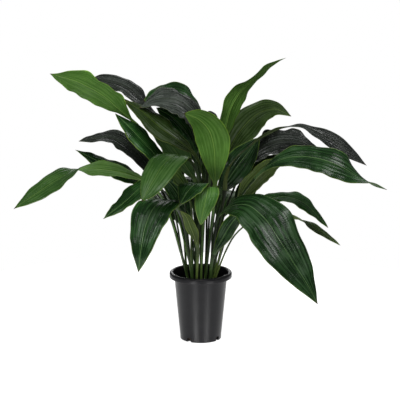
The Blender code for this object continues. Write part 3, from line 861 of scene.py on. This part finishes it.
class Spline:
    """A smooth curve through knots that may lie unevenly apart."""

    def __init__(self, knots: np.ndarray, at: np.ndarray) -> None:
        """Finds the slope at each knot.

        Args:
            knots: The knots, one a row.
            at: How far along the curve each knot lies.
        """
        self.knots, self.at = knots, at
        gaps = np.diff(at)[:, None]
        rates = np.diff(knots, axis=0) / gaps
        inner = (rates[:-1] * gaps[1:] + rates[1:] * gaps[:-1]) / (gaps[:-1] + gaps[1:])
        self.slopes = np.concatenate([rates[:1], inner, rates[-1:]])

    def __call__(self, where: np.ndarray) -> np.ndarray:
        """Reads the curve.

        Args:
            where: How far along to read it.

        Returns:
            One point a row.
        """
        low = np.clip(np.searchsorted(self.at, where, side="right") - 1, 0, len(self.at) - 2)
        gap = (self.at[low + 1] - self.at[low])[:, None]
        t = ((where - self.at[low])[:, None]) / gap
        return (
            self.knots[low] * (2 * t**3 - 3 * t**2 + 1)
            + self.slopes[low] * gap * (t**3 - 2 * t**2 + t)
            + self.knots[low + 1] * (3 * t**2 - 2 * t**3)
            + self.slopes[low + 1] * gap * (t**3 - t**2)
        )


@dataclass
class LeafRings:
    """A leaf's solid, read as rings of points from its socket to its tip."""

    sides: int = 8
    rings: int = 18
    blade_from: int = 6
    middles: np.ndarray = field(init=False)
    lefts: np.ndarray = field(init=False)
    halves: np.ndarray = field(init=False)

    @classmethod
    def of(cls, solid: bpy.types.Object) -> LeafRings:
        """Reads a leaf.

        Args:
            solid: The leaf's object in the frame.

        Returns:
            Its middle line, which way its left margin lies, and its half widths.
        """
        found = cls()
        points, near = found._joined(solid.data)
        layers = found._layers(near, points)
        corners = np.array([points[ring] for ring in layers[1:]])[::-1]
        tip = points[layers[0][0]]
        half_round, quarter = found.sides // 2, found.sides // 4
        widths = np.linalg.norm(corners[:, :half_round] - corners[:, half_round:], axis=2)
        widest = np.argmax(widths, axis=1)
        turned = np.array([np.roll(ring, -first, axis=0) for ring, first in zip(corners, widest)])
        centres = turned.mean(axis=1)
        flat = slice(found.blade_from + 1, found.rings)
        centres[flat] = (turned[flat, quarter] + turned[flat, half_round + quarter]) / 2
        one, other = turned[:, 0], turned[:, half_round]
        found.middles = np.concatenate([centres, tip[None]])
        found.halves = np.append(np.linalg.norm(one - other, axis=1) / 2, 0.0)
        forward = unit(np.gradient(found.middles, axis=0))
        face = (one + other) / 2 - centres
        lefts = np.zeros_like(found.middles)
        for i in range(found.blade_from + 1, found.rings):
            edge = unit(one[i] - other[i])
            lefts[i] = edge * np.sign(edge @ np.cross(face[i], forward[i]))
        lefts[found.rings] = lefts[found.rings - 1]
        lefts[: found.blade_from + 1] = lefts[found.blade_from + 1]
        found.lefts = lefts
        return found

    @staticmethod
    def _joined(mesh: bpy.types.Mesh) -> tuple[np.ndarray, list[set[int]]]:
        """Joins points that coincide.

        Args:
            mesh: The solid's mesh.

        Returns:
            The points, and for each the points that an edge joins it to.
        """
        shape = bmesh.new()
        shape.from_mesh(mesh)
        bmesh.ops.remove_doubles(shape, verts=shape.verts, dist=JOIN_WITHIN)
        shape.verts.index_update()
        points = np.array([vertex.co for vertex in shape.verts])
        near = [{edge.other_vert(vertex).index for edge in vertex.link_edges} for vertex in shape.verts]
        shape.free()
        return points, near

    def _layers(self, near: list[set[int]], points: np.ndarray) -> list[list[int]]:
        """Finds the tip, and the rings that follow it.

        Args:
            near: The points that each point is joined to.
            points: Where the points are.

        Returns:
            The tip, then each ring from tip to root, its points in order round it.
        """
        for tip in range(len(near)):
            layers, seen = [{tip}], {tip}
            while layers[-1]:
                onward = set().union(*(near[point] for point in layers[-1])) - seen
                seen |= onward
                layers.append(onward)
            if [len(layer) for layer in layers[1:-1]] == [self.sides] * self.rings:
                return [[tip], *(self._round(layer, near, points) for layer in layers[1:-1])]
        raise ValueError("the solid isn't rings of points that end in a tip")

    @staticmethod
    def _round(ring: set[int], near: list[set[int]], points: np.ndarray) -> list[int]:
        """Puts a ring's points in order: each is followed by the nearest that an edge joins it to.

        Args:
            ring: The ring's points.
            near: The points that each point is joined to.
            points: Where the points are.

        Returns:
            The points in their order round the ring.
        """
        path = [min(ring)]
        while len(path) < len(ring):
            onward = near[path[-1]] & ring - set(path)
            path.append(min(onward, key=lambda p: float(np.linalg.norm(points[p] - points[path[-1]]))))
        return path


@dataclass
class LeafShape:
    """The fine skin of one leaf: a grooved stalk that spreads into a ribbed, pleated, waving blade.

    Along the leaf, s is the share of the blade's length, and is below 0 on the stalk. Across it, u
    is the share of the half width, from 1 at the left margin to -1 at the right.
    """

    rings: LeafRings
    look: LeafLook
    stalk_step: float = 14.0 * MM
    blade_step: float = 4.2 * MM
    thickness: float = 0.75 * MM
    edge_power: float = 5.0
    groove: float = 0.55 * MM
    groove_width: float = 1.1 * MM
    groove_on_stalk: float = 0.35
    groove_loss: float = 0.6
    stalk_share: float = 0.92
    wing: float = 4.2 * MM
    wing_run: float = 50.0 * MM
    wing_end: float = 0.3
    spreads_over: float = 0.14
    channel: float = 0.14
    channel_loss: float = 0.25
    pleats: float = 4.0
    swell_power: float = 0.6
    crumple: float = 1.6 * MM
    rib_height: float = 2.0 * MM
    rib_taper: float = 1.6
    rib_least: float = 0.15 * MM
    rib_width: float = 1.1 * MM
    full_from: float = 0.55
    full_over: float = 0.35
    # Where the outer half's painted shade starts, and over how much of the blade it comes in.
    painted_outer_shade_from: float = 0.45
    painted_outer_shade_over: float = 0.45

    @staticmethod
    def columns() -> np.ndarray:
        """Returns the values of u at which the skin has points, which lie closest beside the rib."""
        half = np.concatenate([[0.0, 0.022, 0.05, 0.085], np.linspace(0.135, 0.955, 15), [1.0]])
        return np.concatenate([half[::-1], -half[1:]])

    def mesh(self, name: str) -> bpy.types.Mesh:
        """Builds the skin.

        Args:
            name: The mesh's name.

        Returns:
            A closed mesh that carries what the finishes read.
        """
        middle, left, face, half, radius, run, blade = self._stations()
        u, s = self.columns()[None, :], blade[:, None]
        inside = np.clip(s, 0.0, 1.0)
        flat = ease(s, 0.0, self.spreads_over)
        half = half * self._spread(inside, u)
        radius = radius * self.stalk_share
        before_foot = np.clip(np.interp(0.0, blade, run) - run[:, None], 0.0, None)
        wing = radius + self.wing * np.exp(-before_foot / self.wing_run)
        round_across, round_up = wing * np.sin(u * math.pi / 2), radius * np.cos(u * math.pi / 2)
        flat_across = np.maximum(half, wing * (1 - s / self.wing_end)) * u
        across = round_across * (1 - flat) + flat_across * flat

        lift = flat * self._lift(inside, u, half)
        closing = np.sqrt(np.clip(1 - np.abs(u) ** self.edge_power, 0.0, 1.0))
        dip = self.groove * np.exp(-((across / self.groove_width) ** 2)) * (1 - self.groove_loss * inside)
        dip = dip * (self.groove_on_stalk + (1 - self.groove_on_stalk) * flat)
        over = (1 - flat) * round_up + flat * self.thickness / 2 * closing - dip * closing
        under = (1 - flat) * round_up + flat * (self.thickness / 2 * closing + self._rib(inside, across))
        grid = middle[:, None] + left[:, None] * across[..., None]
        top = grid + face[:, None] * (lift + over)[..., None]
        bottom = grid + face[:, None] * (lift - under)[..., None]

        facts = {
            "across": across,
            "share": u,
            "run": run[:, None],
            "blade": s,
            "edge": np.where(s > 0, half * (1 - np.abs(u)), 1.0),
            # painted shade on the outer half of the blade, painted light where fade is below 0
            "shade": 1 - self.look.fade * ease(s, self.painted_outer_shade_from, self.painted_outer_shade_over),
        }
        facts = {title: np.broadcast_to(values, across.shape) for title, values in facts.items()}
        return self._skin(name, top, bottom, facts)

    def _stations(self) -> tuple[np.ndarray, ...]:
        """Finds where the skin has rings.

        Returns:
            Their middles, left and face directions, half widths, stalk radii, distances from the
            root, and shares of the blade's length, which are below 0 on the stalk.
        """
        rings = self.rings
        lengths = np.linalg.norm(np.diff(rings.middles, axis=0), axis=1)
        at = np.concatenate([[0.0], np.cumsum(lengths)])
        foot, end = at[rings.blade_from], at[-1]
        stalk = np.linspace(0.0, foot, max(8, round(foot / self.stalk_step)))[:-1]
        blade = np.linspace(foot, end, max(24, round((end - foot) / self.blade_step)))
        run = np.concatenate([stalk, blade])
        middle = Spline(rings.middles, at)(run)
        forward = unit(np.gradient(middle, run, axis=0))
        left = Spline(rings.lefts, at)(run)
        left = unit(left - forward * np.sum(left * forward, axis=1, keepdims=True))
        face = np.cross(forward, left)
        half = np.clip(Spline(rings.halves[:, None], at)(run), 0.0, None)
        radius = np.interp(run, at[: rings.blade_from + 1], rings.halves[: rings.blade_from + 1])[:, None]
        return middle, left, face, half, radius, run, (run - foot) / (end - foot)

    def _spread(self, inside: np.ndarray, u: np.ndarray) -> np.ndarray:
        """Finds how wide each side of the blade is.

        Args:
            inside: The share of the blade's length, which is 0 on the stalk.
            u: The share of the half width.

        Returns:
            The width, as a share of the solid's.
        """
        look = self.look
        side = np.where(u > 0, look.wide[0], look.wide[1])
        shift = np.where(u > 0, 0.0, 0.43)
        slow = np.sin(2 * math.pi * (inside * look.turns + look.phase + shift))
        quick = np.sin(2 * math.pi * (inside * look.turns * 2.3 + look.phase * 3 + shift * 2))
        hump = look.hump * (slow + 0.4 * quick) * np.sin(math.pi * inside) * np.abs(u)
        return (side + hump) * (1 + look.full * ease(inside, self.full_from, self.full_over))

    def _lift(self, inside: np.ndarray, u: np.ndarray, half: np.ndarray) -> np.ndarray:
        """Finds how far the blade stands off its rib's plane.

        Args:
            inside: The share of the blade's length, which is 0 on the stalk.
            u: The share of the half width.
            half: The half width.

        Returns:
            The fold, the curl, the waves, the pleats and the swells, added up.
        """
        look, size = self.look, np.abs(u)
        swell = np.sin(math.pi * inside) ** self.swell_power
        shift = np.where(u > 0, 0.0, 0.37)
        fold = self.channel * half * size * (1 - self.channel_loss * size)
        curl = -look.curl * half * size**3
        slow = np.sin(2 * math.pi * (inside * look.turns + look.phase + shift))
        quick = np.sin(2 * math.pi * (inside * look.turns * 2.7 + look.phase * 2 + shift * 3))
        wave = look.wave * MM * size**2 * (slow + 0.35 * quick)
        broad = np.cos(2 * math.pi * self.pleats * size + 3 * inside)
        narrow = np.cos(5.3 * math.pi * self.pleats * size)
        pleat = look.pleat * MM * (broad + 0.6 * narrow) * (1 - size**4) * np.clip(size * 5, 0.0, 1.0)
        return fold + curl + (wave + pleat + self._crumple(inside, u)) * swell

    def _crumple(self, inside: np.ndarray, u: np.ndarray) -> np.ndarray:
        """Raises slow uneven swells on the blade.

        Args:
            inside: The share of the blade's length, which is 0 on the stalk.
            u: The share of the half width.

        Returns:
            Their heights, from a smooth noise.
        """
        seed = 31.0 * self.look.phase + 7.0 * self.look.turns
        drift = [
            [noise.noise((along * 9.0 + seed, share * 1.7, seed)) for share in u[0]]
            for along in inside[:, 0]
        ]
        return self.look.crumple * self.crumple * np.array(drift) * np.abs(u)

    def _rib(self, inside: np.ndarray, across: np.ndarray) -> np.ndarray:
        """Runs the stalk on as a rib under the blade, thinner towards the tip.

        Args:
            inside: The share of the blade's length, which is 0 on the stalk.
            across: The distance from the rib's middle.

        Returns:
            How far it stands out under the blade.
        """
        rest = 1 - inside
        tall = self.rib_height * rest**self.rib_taper + self.rib_least * rest
        wide = self.rib_width * (1 + rest**2)
        return tall * np.exp(-((across / wide) ** 2))

    def _skin(
        self, name: str, top: np.ndarray, bottom: np.ndarray, facts: dict[str, np.ndarray]
    ) -> bpy.types.Mesh:
        """Joins the two faces into one closed skin.

        Args:
            name: The mesh's name.
            top: The upper face's points, a row for each station.
            bottom: The underside's points.
            facts: What the mesh carries at each point, in the same rows.

        Returns:
            The mesh.
        """
        rows, columns = top.shape[:2]
        back = slice(columns - 2, 0, -1)
        centre, last = columns // 2, rows - 1
        loops = np.concatenate([top, bottom[:, back]], axis=1)[:last]
        width = loops.shape[1]
        points = np.concatenate([loops.reshape(-1, 3), top[last, centre][None]])
        index = np.arange(last * width).reshape(last, width)
        ring, tip = index[-1], last * width
        faces = [index[0, ::-1].tolist(), *bands(index)]
        faces += [[int(ring[k]), int(ring[(k + 1) % width]), tip] for k in range(width)]
        mesh = bpy.data.meshes.new(name)
        mesh.from_pydata(points.tolist(), [], faces)
        shades = {"shade": (self.look.shade * self.look.top_shade, self.look.shade)}
        for title, values in facts.items():
            above, below = shades.get(title, (1.0, 1.0))
            held = np.concatenate([values * above, values[:, back] * below], axis=1)[:last].reshape(-1)
            held = np.append(held, values[last, centre])
            mesh.attributes.new(title, "FLOAT", "POINT").data.foreach_set("value", held.astype(np.float32))
        sides = np.where(np.arange(width) < columns - 1, Face.UPPER.value, Face.UNDER.value)
        slots = np.where(facts["blade"][: last - 1, :1] < 0, Face.STALK.value, sides)
        slots = np.concatenate([[Face.STALK.value], slots.reshape(-1), sides])
        mesh.polygons.foreach_set("material_index", slots.astype(np.int32))
        shares = np.concatenate([facts["share"], 2 - facts["share"][:, back]], axis=1)[:last]
        self._unwrap(mesh, shares, facts["run"])
        mesh.shade_smooth()
        mesh.update()
        return mesh

    @staticmethod
    def _unwrap(mesh: bpy.types.Mesh, shares: np.ndarray, runs: np.ndarray) -> None:
        """Lays the skin out flat: the upper face beside the underside.

        Args:
            mesh: The skin.
            shares: Each point's place round its ring.
            runs: Each station's distance from the root.
        """
        rows, width = shares.shape
        across = np.append((shares + 1).reshape(-1) / 4, 0.25)
        along = np.append(np.repeat(runs[:rows, 0], width), runs[-1, 0]) / runs[-1, 0]
        corners = np.zeros(len(mesh.loops), np.int32)
        mesh.loops.foreach_get("vertex_index", corners)
        flat = np.stack([across[corners], along[corners]], axis=1).reshape(-1)
        mesh.uv_layers.new(name="UVMap").data.foreach_set("uv", flat.astype(np.float32))


@dataclass
class Foliage:
    """All the leaves of the plant, each in the place of its solid."""

    effects: Effects
    body: str = "root"
    slot: str = "leaf"

    def build(self) -> list[bpy.types.Object]:
        """Builds and dresses every leaf.

        Returns:
            The leaves.
        """
        faces = {Face.UPPER: UPPER, Face.UNDER: UNDER, Face.STALK: STALK}
        finishes = {tone: [faces[face][tone].material(self.effects) for face in Face] for tone in Tone}
        made = []
        for name, look in LOOKS.items():
            shape = LeafShape(LeafRings.of(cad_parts[name]), look)
            leaf = shown(name + "_skin", shape.mesh(name + "_skin"))
            for material in finishes[look.tone]:
                leaf.data.materials.append(material)
            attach(leaf, self.body)
            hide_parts(name)
            made.append(leaf)
        return made


# ---------------------------------------------------------------- pot and soil


def turned(name: str, profile: list[Point], around: int) -> bpy.types.Mesh:
    """Turns a profile round the upright axis.

    Args:
        name: The mesh's name.
        profile: Distances from the axis and heights, from axis to axis.
        around: How many points each turn has.

    Returns:
        A closed mesh.
    """
    angles = np.arange(around) * 2 * math.pi / around
    inner = np.array(profile[1:-1])
    out, up = inner[:, :1], np.repeat(inner[:, 1:], around, axis=1)
    rings = np.stack([out * np.cos(angles), out * np.sin(angles), up], axis=-1)
    count = len(inner) * around
    points = [*rings.reshape(-1, 3).tolist(), (0.0, 0.0, profile[0][1]), (0.0, 0.0, profile[-1][1])]
    index = np.arange(count).reshape(len(inner), around)
    first = [[count, int(index[0, (k + 1) % around]), int(index[0, k])] for k in range(around)]
    last = [[count + 1, int(index[-1, k]), int(index[-1, (k + 1) % around])] for k in range(around)]
    draft = bpy.data.meshes.new(name + "_draft")
    draft.from_pydata(points, [], first + bands(index) + last)
    shape = bmesh.new()
    shape.from_mesh(draft)
    bpy.data.meshes.remove(draft)
    bmesh.ops.recalc_face_normals(shape, faces=shape.faces)
    return mesh_of(name, shape)


def arc(centre: Point, radius: float, start: float, end: float, pieces: int) -> list[Point]:
    """Points of an arc, both ends included.

    Args:
        centre: Its middle: a distance from the axis and a height.
        radius: Its radius.
        start: Its first angle in degrees.
        end: Its last angle in degrees.
        pieces: How many chords it has.

    Returns:
        The points.
    """
    angles = np.radians(np.linspace(start, end, pieces + 1))
    return [(centre[0] + radius * math.cos(a), centre[1] + radius * math.sin(a)) for a in angles]


@dataclass
class NurseryPot:
    """The tapered plastic pot with its hollow rolled lip and four drain notches."""

    effects: Effects
    node: str = "nursery_pot"
    around: int = 160
    foot_share: float = 0.647
    neck_share: float = 0.841
    mouth_share: float = 0.871
    neck_height_share: float = 0.899
    neck_step: float = 1.0 * MM
    lip_drop: float = 15.0 * MM
    lip_straight: float = 3.0 * MM
    wall: float = 2.2 * MM
    floor: float = 3.0 * MM
    corner: float = 3.0 * MM
    heel_height: float = 12.0 * MM
    heel_out: float = 1.2 * MM
    foot_round: float = 2.2 * MM
    foot_out: float = 0.8 * MM
    ring_width: float = 6.0 * MM
    recess: float = 0.8 * MM
    recess_run: float = 2.0 * MM
    notches: int = 4
    first_notch_deg: float = -125.0
    notch_width: float = 12.0 * MM
    notch_height: float = 12.0 * MM
    notch_run: float = 20.0 * MM
    notch_out: float = 2.0 * MM
    notch_round: float = 2.2 * MM
    crease_deg: float = 38.0
    height: float = field(init=False)
    lip: float = field(init=False)
    foot: float = field(init=False)
    neck: float = field(init=False)
    mouth: float = field(init=False)

    def __post_init__(self) -> None:
        """Takes the pot's height and lip from the frame."""
        low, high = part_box(self.node)
        self.height = high.z - low.z
        self.lip = (high.x - low.x) / 2
        self.foot = self.lip * self.foot_share
        self.neck = self.lip * self.neck_share
        self.mouth = self.lip * self.mouth_share

    def profile(self) -> list[Point]:
        """Draws the pot's section.

        Returns:
            Its points, from the inside of the floor, up the wall, over the lip and down the outside.
        """
        half = (self.lip - self.mouth) / 2
        middle = (self.mouth + half, self.height - half)
        neck_top = self.height * self.neck_height_share
        under = self.height - self.lip_drop
        edge = self.wall / 2
        bend = self.foot - self.wall - self.corner
        heel = self.foot - self.foot_round + self.foot_out
        ring = self.foot - self.ring_width
        line = [(0.0, self.floor), (bend, self.floor)]
        line += arc((bend, self.floor + self.corner), self.corner, -90, 0, 4)[1:]
        line += [(self.neck - self.wall, neck_top)]
        line += arc(middle, half, 180, 0, 14)
        line += [(self.lip, under + self.lip_straight)]
        line += arc((self.lip - edge, under + edge), edge, 0, -180, 5)
        line += arc(middle, half - self.wall, 0, 150, 6)
        line += [(self.neck, neck_top - self.neck_step), (self.foot + self.heel_out, self.heel_height)]
        line += arc((heel, self.foot_round), self.foot_round, 0, -90, 5)
        line += [(ring, 0.0), (ring - self.recess_run, self.recess), (0.0, self.recess)]
        return line

    def build(self) -> bpy.types.Object:
        """Turns the pot, cuts its notches and dresses it.

        Returns:
            The pot.
        """
        pot = shown("pot", turned("pot", self.profile(), self.around))
        cutter = self._cutter()
        cut = pot.modifiers.new("notches", "BOOLEAN")
        cut.object = cutter
        bpy.context.view_layer.update()
        evaluated = pot.evaluated_get(bpy.context.evaluated_depsgraph_get())
        pot.data = bpy.data.meshes.new_from_object(evaluated)
        pot.modifiers.clear()
        bpy.data.objects.remove(cutter)
        pot.data.materials.clear()
        pot.data.materials.append(PotFinish().material(self.effects))
        pot.data.shade_smooth()
        pot.data.set_sharp_from_angle(angle=math.radians(self.crease_deg))
        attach(pot, "root")
        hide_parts(self.node)
        return pot

    def _cutter(self) -> bpy.types.Object:
        """Makes round-topped bars that open the notches.

        Returns:
            The bars, as one object.
        """
        shape = bmesh.new()
        for i in range(self.notches):
            turn = Matrix.Rotation(math.radians(self.first_notch_deg + 360 * i / self.notches), 4, "Z")
            place = Matrix.Translation((self.foot + self.notch_out, 0.0, 0.0))
            size = Matrix.Diagonal((self.notch_run, self.notch_width, 2 * self.notch_height, 1.0))
            made = bmesh.ops.create_cube(shape, size=1.0, matrix=turn @ place @ size)
            roof = {corner for corner in made["verts"] if corner.co.z > 0}
            edges = [edge for edge in shape.edges if set(edge.verts) <= roof]
            rails = [edge for edge in edges if edge.calc_length() > (self.notch_run + self.notch_width) / 2]
            bmesh.ops.bevel(
                shape, geom=rails, offset=self.notch_round, segments=4, profile=0.5, affect="EDGES"
            )
        bmesh.ops.recalc_face_normals(shape, faces=shape.faces)
        return shown("notch_cutter", mesh_of("notch_cutter", shape))


@dataclass
class PottingSoil:
    """A plug of peat with a lumpy top, heaped a little round the stalks, and loose crumbs on it."""

    effects: Effects
    node: str = "potting_soil"
    rings: int = 56
    around: int = 150
    edge_drop: float = 1.0 * MM
    foot_share: float = 0.75
    foot_round: float = 3.0 * MM
    lump: float = 1.6 * MM
    lumps: float = 95.0
    crown: float = 3.0 * MM
    top_layer: float = 2.0 * MM
    crumbs: int = 620
    strewn_share: float = 0.955
    crumb_least: float = 0.6 * MM
    crumb_more: float = 1.7 * MM
    crumb_rarity: float = 2.5
    crumb_rough: float = 0.5
    crumb_dents: float = 900.0
    seed: int = 5

    def build(self) -> bpy.types.Object:
        """Shapes and dresses the soil.

        Returns:
            The soil.
        """
        low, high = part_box(self.node)
        radius = (high.x - low.x) / 2
        top = high.z - self.lump - self.crown * 0.6
        shape = bmesh.new()
        shape.from_mesh(turned("soil", self._profile(radius, top, low.z), self.around))
        for vertex in shape.verts:
            if vertex.co.z > top - self.top_layer:
                vertex.co.z += self._height(vertex.co, radius)
        self._scatter(shape, radius, top)
        mesh = mesh_of("soil", shape)
        mesh.materials.append(SoilFinish().material(self.effects))
        mesh.shade_smooth()
        soil = shown("soil", mesh)
        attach(soil, "root")
        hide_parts(self.node)
        return soil

    def _profile(self, radius: float, top: float, bottom: float) -> list[Point]:
        """Draws the soil's section.

        Args:
            radius: The soil's radius at its top.
            top: The height of its top.
            bottom: The height of its underside.

        Returns:
            Its points, from the middle of the top out to the wall, then down and back under.
        """
        foot = radius * self.foot_share
        line = [(radius * i / self.rings, top) for i in range(self.rings)]
        line += [(radius, top - self.edge_drop), (foot, bottom + self.foot_round)]
        return [*line, (foot - self.foot_round, bottom), (0.0, bottom)]

    def _height(self, place: Vector, radius: float) -> float:
        """Finds how far the top is raised, by a low crown and by lumps.

        Args:
            place: Where on the top.
            radius: The soil's radius at its top.

        Returns:
            The height above the plain top.
        """
        share = min(1.0, math.hypot(place.x, place.y) / radius)
        lumps = noise.fractal(Vector((place.x, place.y, 0.3)) * self.lumps, 0.7, 2.1, 4)
        return self.crown * (1 - share**2) * 0.5 + self.lump * lumps * 0.8 * (1 - share**8)

    def _scatter(self, shape: bmesh.types.BMesh, radius: float, top: float) -> None:
        """Drops irregular crumbs on the top.

        Args:
            shape: The soil so far, which takes the crumbs.
            radius: The soil's radius at its top.
            top: The height of its top.
        """
        chance = np.random.default_rng(self.seed)
        for _ in range(self.crumbs):
            out = radius * self.strewn_share * math.sqrt(chance.random())
            angle = chance.random() * 2 * math.pi
            place = Vector((out * math.cos(angle), out * math.sin(angle), top))
            place.z += self._height(place, radius)
            long = self.crumb_least + self.crumb_more * chance.random() ** self.crumb_rarity
            size = long * Vector((1.0, 0.6 + 0.6 * chance.random(), 0.5))
            spin = Matrix.Rotation(chance.random() * 6.3, 4, "Z") @ Matrix.Rotation(chance.random(), 4, "X")
            matrix = Matrix.Translation(place) @ spin @ Matrix.Diagonal((*size, 1.0))
            made = bmesh.ops.create_icosphere(shape, subdivisions=1, radius=1.0, matrix=matrix)
            for vertex in made["verts"]:
                dent = self.crumb_rough * noise.noise(vertex.co * self.crumb_dents)
                vertex.co += (vertex.co - place) * dent


# ---------------------------------------------------------------- studio


class Role(Enum):
    """What a lamp is for."""

    FILL = "lights without being mirrored"
    BOX = "lights and is mirrored"
    GLINT = "is mirrored in the pot alone"


@dataclass(frozen=True)
class SoftLight:
    """A rectangular lamp that faces a point of the plant."""

    name: str
    azimuth: float
    elevation: float
    distance: float
    size: tuple[float, float]
    power: float
    role: Role = Role.BOX


@dataclass
class Studio:
    """The pale floor, the soft lights and the camera.

    The floor and the room look brighter than the light that they give. Angles are in degrees.
    """

    pot: bpy.types.Object
    azimuth: float = 0.0
    elevation: float = 14.0
    distance: float = 8.0
    view_width: float = 1.0828
    view_reach: float = 100.0
    look_at: tuple[float, float, float] = (-0.0019, 0.0, 0.3878)
    floor_reach: float = 0.9
    floor_corners: int = 96
    floor_gap: float = 0.2 * MM
    floor_colour: Colour = (0.45, 0.45, 0.445)
    floor_patch: Colour = (0.4, 0.4, 0.4)
    patch_share: float = 0.03
    patches: float = 3.0
    floor_glow: float = 0.85
    backdrop: float = 1.0
    ambient: float = 0.13
    ambient_colour: Colour = (0.96, 0.98, 1.0)
    lights: tuple[SoftLight, ...] = (
        SoftLight("overhead_light", -18.0, 66.0, 3.2, (1.7, 1.7), 104.0, Role.FILL),
        SoftLight("front_fill", 6.0, 8.0, 4.0, (1.6, 1.6), 26.0, Role.FILL),
        SoftLight("rear_fill", 168.0, 30.0, 3.6, (1.6, 1.6), 52.0, Role.FILL),
        SoftLight("left_box", -50.0, 19.0, 3.2, (0.6, 0.6), 12.0),
        SoftLight("left_high_box", -39.0, 36.0, 3.2, (0.4, 0.5), 7.0),
        SoftLight("right_box", 62.0, 44.0, 3.2, (1.0, 0.8), 20.0),
        SoftLight("top_box", 14.0, 68.0, 3.2, (0.7, 0.25), 3.5),
        SoftLight("rear_box", 180.0, 27.0, 3.4, (3.0, 0.6), 10.0),
        SoftLight("left_strip", -26.0, -25.0, 3.6, (0.14, 1.0), 42.0, Role.GLINT),
        SoftLight("right_strip", 33.0, -25.0, 3.6, (0.14, 1.0), 34.0, Role.GLINT),
        SoftLight("lip_strip", 0.0, 46.0, 3.4, (2.6, 0.4), 50.0, Role.GLINT),
        SoftLight("rear_strip", 180.0, 14.0, 3.6, (2.4, 0.4), 22.0, Role.GLINT),
    )
    shiny: bpy.types.Collection = field(init=False)

    def __post_init__(self) -> None:
        """Makes the collection of what the glints reach."""
        self.shiny = bpy.data.collections.new("shiny")

    def build(self) -> None:
        """Sets up the whole studio."""
        self.shiny.objects.link(self.pot)
        self._floor()
        self._world()
        for light in self.lights:
            self._light(light)
        self._camera()
        bpy.context.scene.view_settings.view_transform = "Standard"
        log.info("studio: %d lights", len(self.lights))

    def _place(self, thing: bpy.types.Object, azimuth: float, elevation: float, distance: float) -> None:
        """Stands a lamp or a camera round the plant, facing it.

        Args:
            thing: What to place.
            azimuth: The angle round the plant, from its front to its right.
            elevation: The angle above the ground.
            distance: How far away it stands.
        """
        a, e = math.radians(azimuth), math.radians(elevation)
        away = Vector((math.sin(a) * math.cos(e), -math.cos(a) * math.cos(e), math.sin(e)))
        thing.location = Vector(self.look_at) + away * distance
        thing.rotation_euler = (-away).to_track_quat("-Z", "Y").to_euler()

    def _floor(self) -> None:
        """Lays the floor."""
        shape = bmesh.new()
        bmesh.ops.create_circle(shape, cap_ends=True, segments=self.floor_corners, radius=self.floor_reach)
        made, page, shader = new_material("pale_floor")
        soft = page.math("MULTIPLY", page.grain(page.place(), self.patches), self.patch_share)
        page.feed(shader.inputs["Base Color"], page.blend(soft, self.floor_colour, self.floor_patch))
        shader.inputs["Emission Color"].default_value = (1.0, 1.0, 1.0, 1.0)
        shader.inputs["Emission Strength"].default_value = self.floor_glow
        shader.inputs["Roughness"].default_value = 0.8
        shader.inputs["Specular IOR Level"].default_value = 0.1
        floor = shown("floor", mesh_of("floor", shape))
        floor.data.materials.append(made)
        floor.location.z = -self.floor_gap

    def _world(self) -> None:
        """Fills the room with even light: brighter where the camera sees it than where it lights."""
        world = bpy.data.worlds.new("studio")
        world.use_nodes = True
        page = Sheet(world.node_tree)
        page.tree.nodes.clear()
        seen = page.node("Background", {"Color": (1.0, 1.0, 1.0), "Strength": self.backdrop})
        felt = page.node("Background", {"Color": self.ambient_colour, "Strength": self.ambient})
        ray = page.node("LightPath").outputs["Is Camera Ray"]
        mixed = page.node("MixShader", {0: ray, 1: felt.outputs[0], 2: seen.outputs[0]})
        page.node("OutputWorld", {"Surface": mixed.outputs[0]})
        bpy.context.scene.world = world

    def _light(self, light: SoftLight) -> None:
        """Hangs one lamp.

        Args:
            light: Where it hangs, how big and bright it is, and what it is for.
        """
        lamp = bpy.data.lights.new(light.name, "AREA")
        lamp.shape = "RECTANGLE"
        lamp.size, lamp.size_y = light.size
        lamp.energy = light.power
        hung = shown(light.name, lamp)
        hung.visible_camera = False
        hung.visible_glossy = light.role is not Role.FILL
        hung.visible_diffuse = light.role is not Role.GLINT
        if light.role is Role.GLINT:
            hung.light_linking.receiver_collection = self.shiny
            hung.light_linking.blocker_collection = self.shiny
        self._place(hung, light.azimuth, light.elevation, light.distance)

    def _camera(self) -> None:
        """Stands the camera where the plant fills its view."""
        lens = bpy.data.cameras.new("camera")
        lens.lens = lens.sensor_width * self.distance / self.view_width
        lens.clip_end = self.view_reach
        camera = shown("camera", lens)
        self._place(camera, self.azimuth, self.elevation, self.distance)
        bpy.context.scene.camera = camera


def main() -> None:
    """Builds the plant, its pot and the studio, and reports each piece."""
    logging.basicConfig(level=logging.INFO, format="%(message)s")
    effects = Effects()
    pot = NurseryPot(effects).build()
    soil = PottingSoil(effects).build()
    leaves = Foliage(effects).build()
    Studio(pot).build()
    for piece in (pot, soil, *leaves):
        log.info("%s: %d faces", piece.name, len(piece.data.polygons))


if __name__ == "__main__":
    main()
